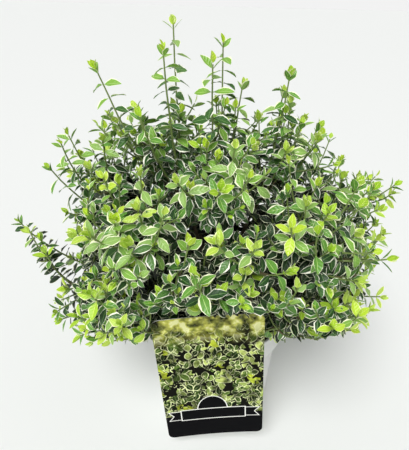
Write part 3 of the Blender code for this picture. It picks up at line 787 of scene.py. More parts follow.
def model_peat():
    peat = spin_profile("peat_fill", peat_profile(), 110)
    for vertex in peat.data.vertices:
        if vertex.co.z > SOIL_TOP - 0.5 * MM:
            vertex.co.z = soil_height(vertex.co.x, vertex.co.y)
    smooth(peat, 60)
    material = make_peat()
    give_finishes(peat, material)
    finish_piece(peat, "soil", "soil")
    model_crumbs(material)


def make_lump():
    deselect_all()
    bpy.ops.mesh.primitive_ico_sphere_add(subdivisions=1, radius=1.0, location=(0, 0, 0))
    lump = bpy.context.active_object
    for vertex in lump.data.vertices:
        vertex.co *= 1 + 0.35 * noise.noise(vertex.co * 2.3)
    return lump


def lay_crumb(lump, rng):
    # A copy of the rough lump, turned and sized on its own and laid on the peat
    reach = (POT_COLLAR_RADIUS - 5 * MM) * math.sqrt(rng.uniform(0.03, 1.0))
    angle = rng.uniform(0, 2 * math.pi)
    x, y = reach * math.cos(angle), reach * math.sin(angle)
    size = rng.uniform(0.5, 1.7) * MM
    turn = Matrix.Rotation(rng.uniform(0, 6.28), 4, Vector(rng.normal(size=3)).normalized())
    shape = Matrix.Diagonal((size * rng.uniform(0.8, 1.7), size, size * 0.7, 1.0))
    lift = Matrix.Translation((x, y, soil_height(x, y) + 0.25 * size))
    crumb = lump.copy()
    crumb.data = lump.data.copy()
    crumb.data.transform(lift @ turn @ shape)
    bpy.context.scene.collection.objects.link(crumb)
    return crumb


def model_crumbs(material):
    rng = np.random.default_rng(SEED)
    lump = make_lump()
    copies = [lay_crumb(lump, rng) for _ in range(CRUMB_COUNT)]
    bpy.data.objects.remove(lump, do_unlink=True)
    crumbs = join_pieces(copies)
    rename(crumbs, "peat_crumbs")
    give_finishes(crumbs, material)
    finish_piece(crumbs, "soil")


# Card and strap


def card_place(across, up, front):
    # Where a point of the flat card comes to lie: bowed, turned and tilted
    right = np.array([math.cos(LABEL_YAW), math.sin(LABEL_YAW), 0.0])
    back = np.array([-math.sin(LABEL_YAW), math.cos(LABEL_YAW), 0.0])
    rise = np.array([0.0, 0.0, 1.0])
    along = right * math.cos(LABEL_TILT) + rise * math.sin(LABEL_TILT)
    tall = rise * math.cos(LABEL_TILT) - right * math.sin(LABEL_TILT)
    bow = LABEL_BOW * (2 * across / LABEL_WIDTH) ** 2
    return LABEL_FOOT + along * across + tall * up - back * (front + bow)


def lay_on_card(piece):
    for vertex in piece.data.vertices:
        vertex.co = Vector(card_place(*vertex.co))
    piece.data.update()


def slice_across():
    # Upright cuts, so that a flat shape can follow the card's bow
    for place in np.arange(-LABEL_WIDTH / 2 + SLICE, LABEL_WIDTH / 2 - 0.5 * SLICE, SLICE):
        bpy.ops.mesh.select_all(action="SELECT")
        bpy.ops.mesh.bisect(plane_co=(float(place), 0, 0), plane_no=(1, 0, 0))


def place_flat(name, size, middle):
    # The new flat primitive gets its name, width, height and place, and stays in edit mode
    piece = bpy.context.active_object
    rename(piece, name)
    start_edit()
    bpy.ops.transform.resize(value=(*size, 1), center_override=(0, 0, 0))
    bpy.ops.transform.translate(value=middle)
    return piece


def start_plane(name, size, middle):
    deselect_all()
    bpy.ops.mesh.primitive_plane_add(size=1, location=(0, 0, 0))
    return place_flat(name, size, middle)


def give_thickness(piece, thickness):
    shell = piece.modifiers.new("thickness", "SOLIDIFY")
    shell.thickness = thickness
    shell.offset = -1.0
    apply_modifiers(piece)


def map_card(card):
    # Both directions of the picture run in shares of the card's height
    for layer in list(card.data.uv_layers):
        card.data.uv_layers.remove(layer)
    flat = card.data.uv_layers.new(name="card")
    for loop in card.data.loops:
        place = card.data.vertices[loop.vertex_index].co
        flat.data[loop.index].uv = (place.x / LABEL_HEIGHT + 0.5, place.y / LABEL_HEIGHT)


def model_card(stock, picture):
    card = start_plane("leaf_card", (LABEL_WIDTH, LABEL_HEIGHT), (0, LABEL_HEIGHT / 2, 0))
    bpy.ops.mesh.bevel(offset=LABEL_CORNER, segments=8, affect="VERTICES")
    slice_across()
    bpy.ops.mesh.select_all(action="SELECT")
    bpy.ops.mesh.bisect(plane_co=(0, SLICE_ABOVE_BAND, 0), plane_no=(0, 1, 0))
    end_edit()
    card.data.transform(Matrix.Translation((0, 0, LABEL_THICKNESS / 2)))
    give_thickness(card, LABEL_THICKNESS)
    map_card(card)
    give_finishes(card, stock, picture)
    for polygon in card.data.polygons:
        polygon.material_index = 1 if polygon.normal.z > 0.5 else 0
    lay_on_card(card)
    smooth(card, 30)
    finish_piece(card, "label", "label_card")


def outline_faces(piece, thickness):
    # The rim of the selected face turns pale, the middle stays dark
    bpy.ops.mesh.inset(thickness=thickness)
    end_edit()
    for polygon in piece.data.polygons:
        polygon.material_index = 1 if polygon.select else 0
    start_edit()


def finish_ink(piece, front, pale, dark):
    slice_across()
    end_edit()
    piece.data.materials.append(pale)
    piece.data.materials.append(dark)
    piece.data.transform(Matrix.Translation((0, 0, LABEL_THICKNESS / 2 + front)))
    give_thickness(piece, INK_THICKNESS)
    lay_on_card(piece)
    finish_piece(piece, "label")


def notch_end(tail, side):
    # The middle of the outer end is pulled in
    bpy.ops.mesh.select_all(action="DESELECT")
    end_edit()
    for edge in tail.data.edges:
        ends = [tail.data.vertices[corner].co.x * side for corner in edge.vertices]
        edge.select = min(ends) > TAIL_END
    bpy.ops.object.mode_set(mode="EDIT")
    bpy.ops.mesh.subdivide(number_cuts=1)
    end_edit()
    for vertex in tail.data.vertices:
        if vertex.co.x * side > TAIL_END and abs(vertex.co.y - RIBBON_HEIGHT) < 1 * MM:
            vertex.co.x -= side * TAIL_NOTCH
    start_edit()


def model_ribbon(pale, dark):
    # A blank banner: two notched tails, a half-round crest and the long box in front
    for name, side in (("ribbon_tail_left", -1), ("ribbon_tail_right", 1)):
        tail = start_plane(name, TAIL_SIZE, (side * TAIL_PLACE, RIBBON_HEIGHT, 0))
        notch_end(tail, side)
        outline_faces(tail, 0.7 * MM)
        finish_ink(tail, 0.06 * MM, pale, dark)
    deselect_all()
    bpy.ops.mesh.primitive_circle_add(vertices=48, radius=1, fill_type="NGON", location=(0, 0, 0))
    crest = place_flat("ribbon_crest", CREST_SIZE, (-1.2 * MM, RIBBON_CREST, 0))
    outline_faces(crest, 0.8 * MM)
    bpy.ops.mesh.bisect(plane_co=(0, RIBBON_CREST, 0), plane_no=(0, 1, 0), clear_inner=True)
    finish_ink(crest, 0.08 * MM, pale, dark)
    box = start_plane("ribbon_box", BOX_SIZE, (-0.8 * MM, RIBBON_HEIGHT, 0))
    outline_faces(box, 0.9 * MM)
    finish_ink(box, 0.14 * MM, pale, dark)


def model_strap():
    give_finishes(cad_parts["label_hook"], make_hook_plastic())


# Where the crown is shared out, as in the solids


def mass_centres():
    centres = []
    for _, angle, distance, height in MASSES:
        turn = math.radians(angle)
        centres.append((distance * MM * math.cos(turn), distance * MM * math.sin(turn), height * MM))
    return np.array(centres)


CENTRES = mass_centres()


def cell_depth(points, own):
    points = np.atleast_2d(points)
    squares = ((points[:, None, :] - CENTRES[None, :, :]) ** 2).sum(axis=2)
    spans = np.linalg.norm(CENTRES - CENTRES[own], axis=1)
    spans[own] = 1.0
    depths = (squares - squares[:, [own]]) / (2 * spans)
    depths[:, own] = 1.0
    return depths.min(axis=1)


def solid_hem(points):
    # Lowest that the leaves of the solids hang, beside the pot and at its front
    forward = np.maximum(-points[:, 1] - HEM_START, 0.0)
    middle = np.abs(points[:, 0]) < HEM_MIDDLE_SIDE
    return LOWEST_LEAF, np.where(middle, HEM_MIDDLE, HEM_SIDES) + HEM_SLOPE * forward


def fine_hem(points):
    # The same for the finer leaves, which follow the hem of the front more closely
    places, heights = zip(*FINE_HEM)
    edge = np.interp(points[:, 0] / MM, places, heights) * MM
    edge = edge + HEM_UNEVEN * (np.sin(points[:, 0] / HEM_WAVE) + np.sin(points[:, 1] / HEM_WAVE))
    forward = np.maximum(-points[:, 1] - HEM_START, 0.0)
    at_front = np.clip(-points[:, 1] / HEM_START, 0.0, 1.0)
    beside = LOWEST_FINE_LEAF + at_front * (edge - 4 * MM - LOWEST_FINE_LEAF)
    return beside, edge + HEM_SLOPE * forward


def lift_over_hem(tip):
    beside, hem = fine_hem(np.atleast_2d(tip))
    lowest = hem[0] if -tip[1] > HEM_START else beside[0]
    return np.array([tip[0], tip[1], max(tip[2], lowest + 2 * MM)])


def clear_of_pot_and_label(points, ease=0.0):
    # Without ease the rule of the solids, with it the finer leaves come a little nearer
    points = np.atleast_2d(points)
    reach = np.hypot(points[:, 0], points[:, 1])
    front = -points[:, 1]
    height = points[:, 2]
    over_rim = height > POT_HEIGHT + RIM_ROOM - ease
    lowest, hem = fine_hem(points) if ease else solid_hem(points)
    beside_pot = (reach > BESIDE_POT - 1.5 * ease) & (height > lowest)
    near_label = (np.abs(points[:, 0]) < LABEL_SIDE - 2 * ease) & (front > LABEL_FRONT + ease)
    sight = SIGHT_LINE + SIGHT_SLOPE * np.maximum(front - SIGHT_START, 0.0)
    over_label = ~near_label | (height > sight - ease)
    over_hem = (front <= HEM_START) | (height > hem - ease)
    return bool(np.all((over_rim | beside_pot) & over_label & over_hem))


def crest_height(point, crest=CREST):
    places, heights = zip(*crest)
    return np.interp(point[0] / MM, places, heights) * MM - CREST_FALL * point[1]


def within_outline(point):
    # The crown is flatter on its right and left than the body, the more so towards the front
    heights, widths = zip(*LEFT_LIMITS)
    right = point[0] - SIDE_SLOPE * point[1]
    left = -point[0] - SIDE_SLOPE * point[1]
    beside = right < RIGHT_LIMIT and left < np.interp(point[2], heights, widths)
    return beside and point[2] < crest_height(point)


def body_radius(direction):
    start = (CROWN_FOOT - BODY_CENTRE) / BODY_REACH
    slope = direction / BODY_REACH
    a = slope @ slope
    b = 2 * start @ slope
    c = start @ start - 1
    return (-b + math.sqrt(b * b - 4 * a * c)) / (2 * a)


def body_points(count, depths):
    # Points spread evenly over the body's outline, each at its own share of the way out
    points = []
    for index, depth in zip(range(count), depths):
        rise = TIP_LOWEST + (TIP_HIGHEST - TIP_LOWEST) * (index + 0.5) / count
        turn = index * math.pi * (3 - math.sqrt(5))
        flat = math.sqrt(1 - rise * rise)
        direction = np.array([flat * math.cos(turn), flat * math.sin(turn), rise])
        points.append(CROWN_FOOT + direction * body_radius(direction) * depth)
    return points


def tip_depths(count):
    rng = random.Random(SEED)
    return [TIP_OUTERMOST - TIP_DEPTH * rng.random() ** 2 for _ in range(count)]


def cell_of(point):
    return int(np.argmin(((CENTRES - point) ** 2).sum(axis=1)))


def leading_tips():
    tips = [(np.array(tip) * MM, SLENDER if tip[2] * MM > SLENDER_ABOVE else LEAFY)
            for tip in LEADERS]
    return tips + [(np.array(tip) * MM, LEAFY) for tip in FRONT_TIPS]


def fill_tip(place, index):
    # A shoot that fills in here and how far it rises, or nothing where the crown is open
    below_crest = crest_height(place, FINE_CREST) - place[2]
    if below_crest < 0.0 or (index % 3 and not within_outline(place * DENSE_PART)):
        return []
    near_crest = below_crest < NEAR_CREST
    if near_crest and index % 2:
        return []
    rise = 0.0
    if near_crest or (place[2] > RISES_ABOVE and index % 5 < 3):
        highest = RISE_BEHIND if place[1] > FRONT_OF_CROWN else RISE_AT_FRONT
        rise = 2 * MM + min(below_crest, highest) * (index * GOLDEN_SHARE % 1.0)
    lean = np.array([0.1 * np.sign(place[0]), 0.1 * np.sign(place[1]), 1.0])
    return [(place + lean * rise, rise)]


def spread_tips():
    # The solids' tips first, then the ones in between that only the looks carry
    choices = [point for point in body_points(CHOICE_COUNT, tip_depths(CHOICE_COUNT))
               if cell_depth(point, cell_of(point))[0] > CELL_ROOM
               and clear_of_pot_and_label(point) and within_outline(point)]
    choices = np.array(choices)
    nearest = np.full(len(choices), 1.0)
    main = [[] for _ in MASSES]
    fill = [[] for _ in MASSES]
    for tip, habit in leading_tips():
        nearest = np.minimum(nearest, np.linalg.norm(choices - tip, axis=1))
        main[cell_of(tip)].append((tip, habit))
    for index in range(TIP_COUNT + FILL_COUNT):
        place = choices[int(np.argmax(nearest))]
        nearest = np.minimum(nearest, np.linalg.norm(choices - place, axis=1))
        if index < TIP_COUNT:
            main[cell_of(place)].append((place, LEAFY))
        else:
            fill[cell_of(place)].extend(fill_tip(place, index))
    for tip in FINE_TIPS:
        rise = SLENDER_RISE if tip[2] * MM > FINE_SLENDER_ABOVE else 0.0
        fill[cell_of(np.array(tip) * MM)].append((np.array(tip) * MM, rise))
    return main, fill


def curve_points(start, bend, end, count):
    steps = np.linspace(0.0, 1.0, count)
    return np.array([(1 - t) ** 2 * start + 2 * t * (1 - t) * bend + t ** 2 * end for t in steps])


def bough_path(own, count):
    hub = CROWN_FOOT + BOUGH_SHARE * (CENTRES[own] - CROWN_FOOT)
    way = unit(hub - CROWN_FOOT)
    start = CROWN_FOOT + way * (HEAD_RADIUS + CLEARANCE)
    bend = (start + hub) / 2 - np.array([0.0, 0.0, 2.5 * MM]) * (1 - way[2])
    return curve_points(start, bend, hub, count)


# Meshes laid together from many small shapes


class Heap:
    # Vertices and four-cornered faces of one piece, with a finish for each face
    def __init__(self):
        self.vertices = []
        self.quads = []
        self.slots = []
        self.flats = []
        self.count = 0

    def add(self, vertices, quads, slots, flats=None):
        self.vertices.append(vertices)
        self.quads.append(quads + self.count)
        self.slots.append(slots)
        if flats is not None:
            self.flats.append(flats)
        self.count += len(vertices)

    def build(self, name, materials):
        vertices = np.concatenate(self.vertices)
        quads = np.concatenate(self.quads)
        mesh = bpy.data.meshes.new(name)
        mesh.from_pydata(vertices.tolist(), [], quads.tolist())
        for material in materials:
            mesh.materials.append(material)
        mesh.polygons.foreach_set("material_index", np.concatenate(self.slots))
        mesh.polygons.foreach_set("use_smooth", np.ones(len(quads), dtype=bool))
        if self.flats:
            layer = mesh.uv_layers.new(name="leaf")
            flats = np.concatenate(self.flats)[quads.ravel()]
            layer.data.foreach_set("uv", flats.ravel())
        mesh.update()
        piece = bpy.data.objects.new(name, mesh)
        bpy.context.scene.collection.objects.link(piece)
        return piece


def ring_frames(points):
    # Two directions across the path at each point, carried along without turning
    helper = np.array([0.0, 0.0, 1.0])
    ahead = unit(points[1] - points[0])
    if abs(ahead[2]) > 0.9:
        helper = np.array([1.0, 0.0, 0.0])
    across = unit(np.cross(ahead, helper))
    frames = []
    for index in range(len(points)):
        before = points[max(index - 1, 0)]
        after = points[min(index + 1, len(points) - 1)]
        ahead = unit(after - before)
        across = unit(across - ahead * np.dot(across, ahead))
        frames.append((across, np.cross(ahead, across)))
    return frames


def tube(points, radii, sides):
    angles = np.arange(sides) * 2 * math.pi / sides
    rings = []
    for point, radius, (across, beside) in zip(points, radii, ring_frames(points)):
        ring = np.outer(np.cos(angles), across) + np.outer(np.sin(angles), beside)
        rings.append(point + ring * radius)
    quads = []
    for index in range(len(points) - 1):
        low = index * sides
        for side in range(sides):
            after = (side + 1) % sides
            quads.append((low + side, low + after, low + sides + after, low + sides + side))
    return np.concatenate(rings), np.array(quads)


# Wood with bark relief


def bark_swell(point, size):
    # How far the bark stands out here, as a share of the limb's radius
    ridge = noise.noise(Vector((point[0] * 260, point[1] * 260, point[2] * 90)))
    fine = noise.noise(Vector(point) * 700)
    return 1 + size * (0.7 * ridge + 0.3 * fine)


def relief_tube(heap, points, radii, sides, size):
    vertices, quads = tube(points, radii, sides)
    for index in range(len(points)):
        for corner in range(index * sides, (index + 1) * sides):
            swell = bark_swell(vertices[corner], size)
            vertices[corner] = points[index] + (vertices[corner] - points[index]) * swell
    heap.add(vertices, quads, np.zeros(len(quads), dtype=np.int32))


def model_stem(bark):
    # A slightly waisted stem that ends in a rounded head
    foot = CROWN_FOOT[2]
    heights = list(np.linspace(STEM_BOTTOM, foot - 0.3 * HEAD_RADIUS, 12))
    radii = [HEAD_RADIUS * (1.0 - 0.12 * math.sin(math.pi * min(1.0, index / 8)))
             for index in range(len(heights))]
    for turn in np.linspace(0, 86, 9):
        angle = math.radians(turn)
        heights.append(foot + HEAD_RADIUS * math.sin(angle))
        radii.append(HEAD_RADIUS * math.cos(angle))
    heights.append(foot + HEAD_RADIUS)
    radii.append(0.02 * MM)
    points = np.array([(0.0, 0.0, height) for height in heights])
    trunk = Heap()
    relief_tube(trunk, points, np.array(radii) * 0.97, 28, 0.1)
    finish_piece(trunk.build("stem_bark", [bark]), "bark", "main_stem")


def model_boughs(bark):
    limbs = Heap()
    for own in range(len(MASSES)):
        path = bough_path(own, 22)
        inner = CROWN_FOOT + unit(path[0] - CROWN_FOOT) * (HEAD_RADIUS - 1.5 * MM)
        path = np.vstack([inner, path])
        radii = np.linspace(BOUGH_RADIUS * 1.25, BOUGH_TIP_RADIUS, len(path))
        relief_tube(limbs, path, radii, 10, 0.16)
    boughs = limbs.build("bough_bark", [bark])
    finish_piece(boughs, "bark", *["bough_" + mass[0] for mass in MASSES])


# Leaves

# Kinds of face, and their order across a leaf
LEAF_HALF = 0
LEAF_VEIN = 1
LEAF_EDGE = 2
ACROSS_LEAF = (LEAF_EDGE, LEAF_HALF, LEAF_VEIN, LEAF_HALF, LEAF_EDGE)
COLUMNS = len(ACROSS_LEAF) + 1


class LeafShape:
    # Stations along a leaf with its half width at each, its faces and the kind of each face.
    # The first row is the leaf's short stalk, in the colour of the vein
    def __init__(self, stations, halves):
        self.stations = np.array(stations)
        self.halves = np.array(halves)
        self.rows = len(stations)
        quads = []
        kinds = []
        for row in range(self.rows - 1):
            for column in range(COLUMNS - 1):
                low = row * COLUMNS + column
                quads.append((low, low + 1, low + COLUMNS + 1, low + COLUMNS))
                kinds.append(LEAF_VEIN if row == 0 else ACROSS_LEAF[column])
        self.quads = np.array(quads)
        self.kinds = np.array(kinds)


OUTER_LEAF = LeafShape((0.0, 0.10, 0.25, 0.48, 0.72, 0.91, 1.0),
                       (0.07, 0.10, 0.62, 1.0, 0.80, 0.36, 0.02))
INNER_LEAF = LeafShape((0.0, 0.12, 0.40, 0.76, 1.0),
                       (0.07, 0.14, 1.0, 0.74, 0.02))

# Finishes dealt out to the leaves: three middles for each age, one vein and one edge colour. The last
# and darkest is no age but painted shade, near black, for leaves far inside the crown
AGES_AND_SHADE = ("young", "fresh", "grown", "old", "painted_shade")
MIDDLES_PER_AGE = 3
FINISHES_PER_AGE = MIDDLES_PER_AGE + 2
LEAF_COLOURS = {
    "young": (((192, 224, 60), (172, 212, 56), (188, 218, 84)), (218, 238, 112), (250, 254, 190)),
    "fresh": (((130, 178, 68), (100, 154, 56), (148, 186, 96)), (176, 212, 118), (252, 255, 216)),
    "grown": (((58, 102, 40), (40, 78, 32), (84, 126, 60)), (112, 152, 84), (255, 255, 236)),
    "old": (((30, 56, 22), (18, 37, 14), (41, 71, 33)), (62, 92, 47), (238, 243, 208)),
    # Painted shade: near-black greens and a dull edge for leaves far inside the crown
    "painted_shade": (((17, 30, 13), (11, 20, 9), (24, 40, 19)), (34, 52, 27), (132, 142, 108)),
}

# How much of the half leaf the pale edge takes up
MARGINS = {"young": 0.13, "fresh": 0.17, "grown": 0.19, "old": 0.17, "painted_shade": 0.14}

# Side veins: how close they lie along the leaf, in radians for its length, and how they slant
RIB_COUNT = 34.0
RIB_SLANT = 7.0

# How far a leaf may be rolled about its own length, in radians
LEAF_ROLL = 0.3

# Half the vein's width and the lift of the wavy edge, in shares of the half and the full width
VEIN_HALF = 0.06
EDGE_WAVE = 0.05


def make_leaf_group():
    # Slanting side veins as a height, and a sheen that is a little uneven
    group = bpy.data.node_groups.new("leaf_relief", "ShaderNodeTree")
    group.interface.new_socket("Leaf Place", in_out="INPUT", socket_type="NodeSocketVector")
    group.interface.new_socket("Object Place", in_out="INPUT", socket_type="NodeSocketVector")
    group.interface.new_socket("Roughness", in_out="OUTPUT", socket_type="NodeSocketFloat")
    group.interface.new_socket("Height", in_out="OUTPUT", socket_type="NodeSocketFloat")
    start = node(group, "NodeGroupInput")
    end = node(group, "NodeGroupOutput")
    along, out = split(group, start.outputs["Leaf Place"])[0:2]
    ribs = maths(group, "MULTIPLY_ADD", maths(group, "ABSOLUTE", out), -RIB_SLANT,
                 maths(group, "MULTIPLY", along, RIB_COUNT))
    group.links.new(maths(group, "SINE", ribs), end.inputs["Height"])
    cloud = noise_of(group, start.outputs["Object Place"], 240.0, 2.0).outputs[0]
    group.links.new(maths(group, "MULTIPLY_ADD", cloud, 0.28, 0.2), end.inputs["Roughness"])
    return group


LEAF_RELIEF = make_leaf_group()


def make_leaf_finish(name, colour):
    material = new_material(name, paint(*colour), 0.42, Specular_IOR_Level=0.45)
    tree = material.node_tree
    relief = node(tree, "ShaderNodeGroup", node_tree=LEAF_RELIEF)
    flat = node(tree, "ShaderNodeUVMap", uv_map="leaf").outputs[0]
    feed(tree, flat, relief.inputs["Leaf Place"])
    feed(tree, object_place(tree), relief.inputs["Object Place"])
    feed_surface(tree, "Roughness", relief.outputs["Roughness"])
    add_bump(tree, relief.outputs["Height"], 0.35, 0.25 * MM)
    return material


def make_leaf_finishes():
    # Slots in order: for each age its middles, then the vein, then the edge
    finishes = []
    for age in AGES_AND_SHADE:
        middles, vein, edge = LEAF_COLOURS[age]
        for index, middle in enumerate(middles):
            finishes.append(make_leaf_finish("leaf_%s_%d" % (age, index), middle))
        finishes.append(make_leaf_finish("leaf_%s_vein" % age, vein))
        finishes.append(make_leaf_finish("leaf_%s_edge" % age, edge))
    return finishes


def age_with_painted_shade(age, point):
    # Leaves far inside the body are made older and darker as painted shade, and those high up lie in
    # the light, where that painted shade is lessened
    out = np.linalg.norm((point - BODY_CENTRE) / BODY_REACH)
    if out < OLD_AND_SHADED_WITHIN:
        age = "painted_shade" if out < PAINTED_SHADE_WITHIN else "old"
    if point[2] > PAINTED_LIGHT_ABOVE and age in ("old", "painted_shade"):
        return "grown"
    if point[2] > LIT_ABOVE and age == "painted_shade":
        return "old"
    return age


class Grid:
    # Remembers where leaves are, so that no two lie in the same place
    def __init__(self, room):
        self.room = room
        self.cells = {}

    def key(self, point):
        return tuple(np.floor(point / self.room).astype(int))

    def add(self, point):
        self.cells.setdefault(self.key(point), []).append(point)

    def free(self, point):
        middle = self.key(point)
        for step_x in (-1, 0, 1):
            for step_y in (-1, 0, 1):
                for step_z in (-1, 0, 1):
                    cell = (middle[0] + step_x, middle[1] + step_y, middle[2] + step_z)
                    for other in self.cells.get(cell, ()):
                        if np.sum((other - point) ** 2) < self.room ** 2:
                            return False
        return True


LEAF_GRID = Grid(LEAF_ROOM)
GAP_GRID = Grid(GAP_ROOM)


class MassLooks:
    # The twigs and leaves of one mass, grown shoot by shoot
    def __init__(self, own):
        self.own = own
        self.name = MASSES[own][0]
        self.rng = np.random.default_rng(SEED * 100 + own)
        self.leaves = Heap()
        self.twigs = Heap()
        self.shoots = []
        self.shape = OUTER_LEAF

    def take_room(self, root, along, across, facing, length, width, droop):
        # Whether the leaf is clear of the pot, the card and its neighbours. If so, it keeps its room
        sides = root + along * length * 0.6
        reach = np.array([sides + across * width * 0.5, sides - across * width * 0.5,
                          root + along * length])
        middle = root + along * 0.55 * length - facing * droop * 0.3 * length
        if not clear_of_pot_and_label(reach, LEAF_EASE) or not LEAF_GRID.free(middle):
            return False
        LEAF_GRID.add(middle)
        GAP_GRID.add(middle)
        return True

    def edge_places(self, age):
        # Where the leaf's columns lie at each station: the edge, the two halves and the vein
        rows = self.shape.rows
        margin = MARGINS[age] * self.rng.uniform(0.5, 1.4)
        inset = 1 - margin * self.rng.uniform(0.15, 1.9, size=(rows, 2))
        places = np.stack([-np.ones(rows), -inset[:, 0], np.full(rows, -VEIN_HALF),
                           np.full(rows, VEIN_HALF), inset[:, 1], np.ones(rows)], axis=1)
        places[-1] = (-1, -0.6, -0.2, 0.2, 0.6, 1)
        return places

    def leaf(self, root, along, facing, length, width, age, shade, droop, fold):
        # One leaf: a pale uneven edge, a vein and two darker halves
        facing = unit(facing - along * np.dot(facing, along))
        across = np.cross(facing, along)
        roll = self.rng.normal(0, LEAF_ROLL)
        across, facing = (math.cos(roll) * across + math.sin(roll) * facing,
                          math.cos(roll) * facing - math.sin(roll) * across)
        if not self.take_room(root, along, across, facing, length, width, droop):
            return
        places = self.edge_places(age)
        side = places * (self.shape.halves * width / 2)[:, None]
        side[2:-1, (0, -1)] *= self.rng.uniform(0.9, 1.13, size=(self.shape.rows - 3, 2))
        forward = self.shape.stations * length
        wave = EDGE_WAVE * width * np.sin(forward / length * 9 + self.rng.uniform(0, 6))
        lift = fold * np.abs(side) - (droop * forward ** 2 / length)[:, None]
        lift = lift + wave[:, None] * np.abs(places) ** 2 * np.sign(places) * 0.5
        points = (root + along * forward[:, None, None] + across * side[:, :, None]
                  + facing * lift[:, :, None])
        first = FINISHES_PER_AGE * AGES_AND_SHADE.index(age)
        vein = first + MIDDLES_PER_AGE
        slots = np.array([first + shade, vein, vein + 1])[self.shape.kinds]
        flats = np.stack([np.repeat(self.shape.stations, COLUMNS), places.ravel()], axis=1)
        self.leaves.add(points.reshape(-1, 3), self.shape.quads, slots.astype(np.int32), flats)

    def pair(self, point, ahead, turn, spread, length, shape, age, shade, droop, sag):
        # Two leaves face to face, either closed round the tip or open to the light
        rng = self.rng
        side = unit(np.cross(ahead, (math.cos(turn), math.sin(turn), 0.3)))
        outward = unit(np.array([point[0], point[1], 0.0]))
        for way in (side, -side):
            opening = spread + rng.normal(0, 0.09)
            along = math.cos(opening) * ahead + math.sin(opening) * way
            facing = ahead
            if spread > OPEN_SPREAD:
                along = along - np.array([0.0, 0.0, sag * (spread - 0.6)])
                facing = ahead * 0.6 + outward * 0.5 + BRIGHT_SIDE
            along = unit(along)
            if abs(np.dot(unit(facing), along)) > 0.93:
                facing = ahead - way * 0.4
            size = length * rng.uniform(0.88, 1.12)
            self.leaf(point, along, facing, size, size * shape * rng.uniform(0.9, 1.1),
                      age, shade, droop + rng.uniform(-0.03, 0.08), rng.uniform(0.15, 0.5))

    def dress(self, path, habit, bare_share, older_and_shaded):
        # Leaves in crossed pairs from the tip back: a cup of young ones, then older and older
        rng = self.rng
        lengths = np.linalg.norm(np.diff(path, axis=0), axis=1)
        total = lengths.sum()
        marks = np.concatenate([[0.0], np.cumsum(lengths)])
        shade = int(rng.integers(0, MIDDLES_PER_AGE))
        turn = rng.uniform(0, math.pi)
        length = habit.leaf * rng.uniform(0.88, 1.12)
        if habit is LEAFY:
            older_and_shaded -= int(rng.integers(0, 3) == 0)
            # Painted shade: leafy shoots whose tips lie at the left get one age older and darker
            older_and_shaded += int(path[-1][0] < PAINTED_SHADE_LEFT_OF)
        back = 0.0
        index = 0
        while total - back > bare_share * total:
            place = total - back
            step = min(int(np.searchsorted(marks, place, side="right")) - 1, len(lengths) - 1)
            share = (place - marks[step]) / lengths[step]
            point = path[step] * (1 - share) + path[step + 1] * share
            ahead = unit(path[step + 1] - path[step])
            self.dress_step(point, ahead, turn, index, habit, length, shade, older_and_shaded)
            turn += math.pi / 2 + rng.normal(0, 0.12)
            back += habit.gaps[min(index, 3)] * MM * rng.uniform(0.85, 1.15)
            index += 1

    def dress_step(self, point, ahead, turn, index, habit, length, shade, older_and_shaded):
        stage = min(index, 3)
        spread = habit.spreads[stage] + (self.rng.uniform(0, 0.3) if index > 2 else 0.0)
        age = habit.ages[min(max(index + older_and_shaded, 0), len(habit.ages) - 1)]
        droop = habit.droop if index > 2 else 0.02
        self.pair(point, ahead, turn, spread, length * habit.sizes[stage], habit.shapes[stage],
                  age_with_painted_shade(age, point), shade, droop, habit.sag)

    def bend_point(self, start, tip):
        # A shoot sets out sideways and then turns up, as far as its mass's cell allows
        way = tip - start
        for pull in (1.0, 0.6, 0.25):
            trial = start + way * np.array([0.52, 0.52, 0.52 - 0.22 * pull])
            trial = trial + way * np.array([0.2, 0.2, 0.0]) * pull
            if cell_depth(trial, self.own)[0] > 2 * MM:
                return trial
        return (start + tip) / 2

    def add_shoot(self, start, target, habit, bare_share, thick, older_and_shaded=0):
        tip = target - unit(target - start) * CUP_LENGTH * habit.cup
        path = curve_points(start, self.bend_point(start, tip), tip, SHOOT_POINTS)
        wobble = np.array([noise.noise_vector(Vector(point) * 60) for point in path])
        path = path + wobble * 0.9 * MM * np.linspace(0, 1, SHOOT_POINTS)[:, None]
        if not clear_of_pot_and_label(path[2:], TWIG_EASE):
            return False
        self.add_twig(path, thick)
        self.shoots.append(path)
        self.dress(path, habit, bare_share, older_and_shaded)
        return True

    def add_twig(self, path, thick):
        # Brown near the foot, green beyond
        radii = np.linspace(thick, TWIG_TIP_RADIUS, len(path))
        vertices, quads = tube(path, radii, 5)
        slots = np.where(np.arange(len(quads)) < len(quads) * TWIG_BROWN_SHARE, 1, 0)
        self.twigs.add(vertices, quads, slots.astype(np.int32))

    def grow(self, main, fill):
        # The stem runs on from the bough, the other main shoots fork from it, the rest from those
        path = bough_path(self.own, 4)
        way = unit(path[-1] - path[-2])
        start = path[-1]
        tips = [(lift_over_hem(tip), habit) for tip, habit in main]
        tips.sort(key=lambda tip: -np.dot(unit(tip[0] - start), way))
        first, habit = tips[0]
        self.add_shoot(start, first, habit, habit.bare, BOUGH_TIP_RADIUS)
        if not self.shoots:
            self.shoots.append(curve_points(start, (start + first) / 2, first, SHOOT_POINTS))
        stem = self.shoots[0]
        for index, (tip, habit) in enumerate(tips[1:]):
            share = FORK_LOWEST + FORK_SPAN * index / max(len(tips) - 2, 1)
            fork = stem[int(round(share * (SHOOT_POINTS - 1)))]
            self.add_shoot(fork, tip, habit, habit.bare, TWIG_RADIUS)
        for tip, rise in fill:
            fork = self.nearest_fork(tip, FILL_LENGTH + 0.6 * rise)
            self.add_shoot(fork, tip, SLENDER if rise > 0 else LEAFY, 0.1, TWIG_RADIUS * 0.85)

    def close_gap(self, tip):
        for length in GAP_LENGTHS:
            fork = self.nearest_fork(tip, length)
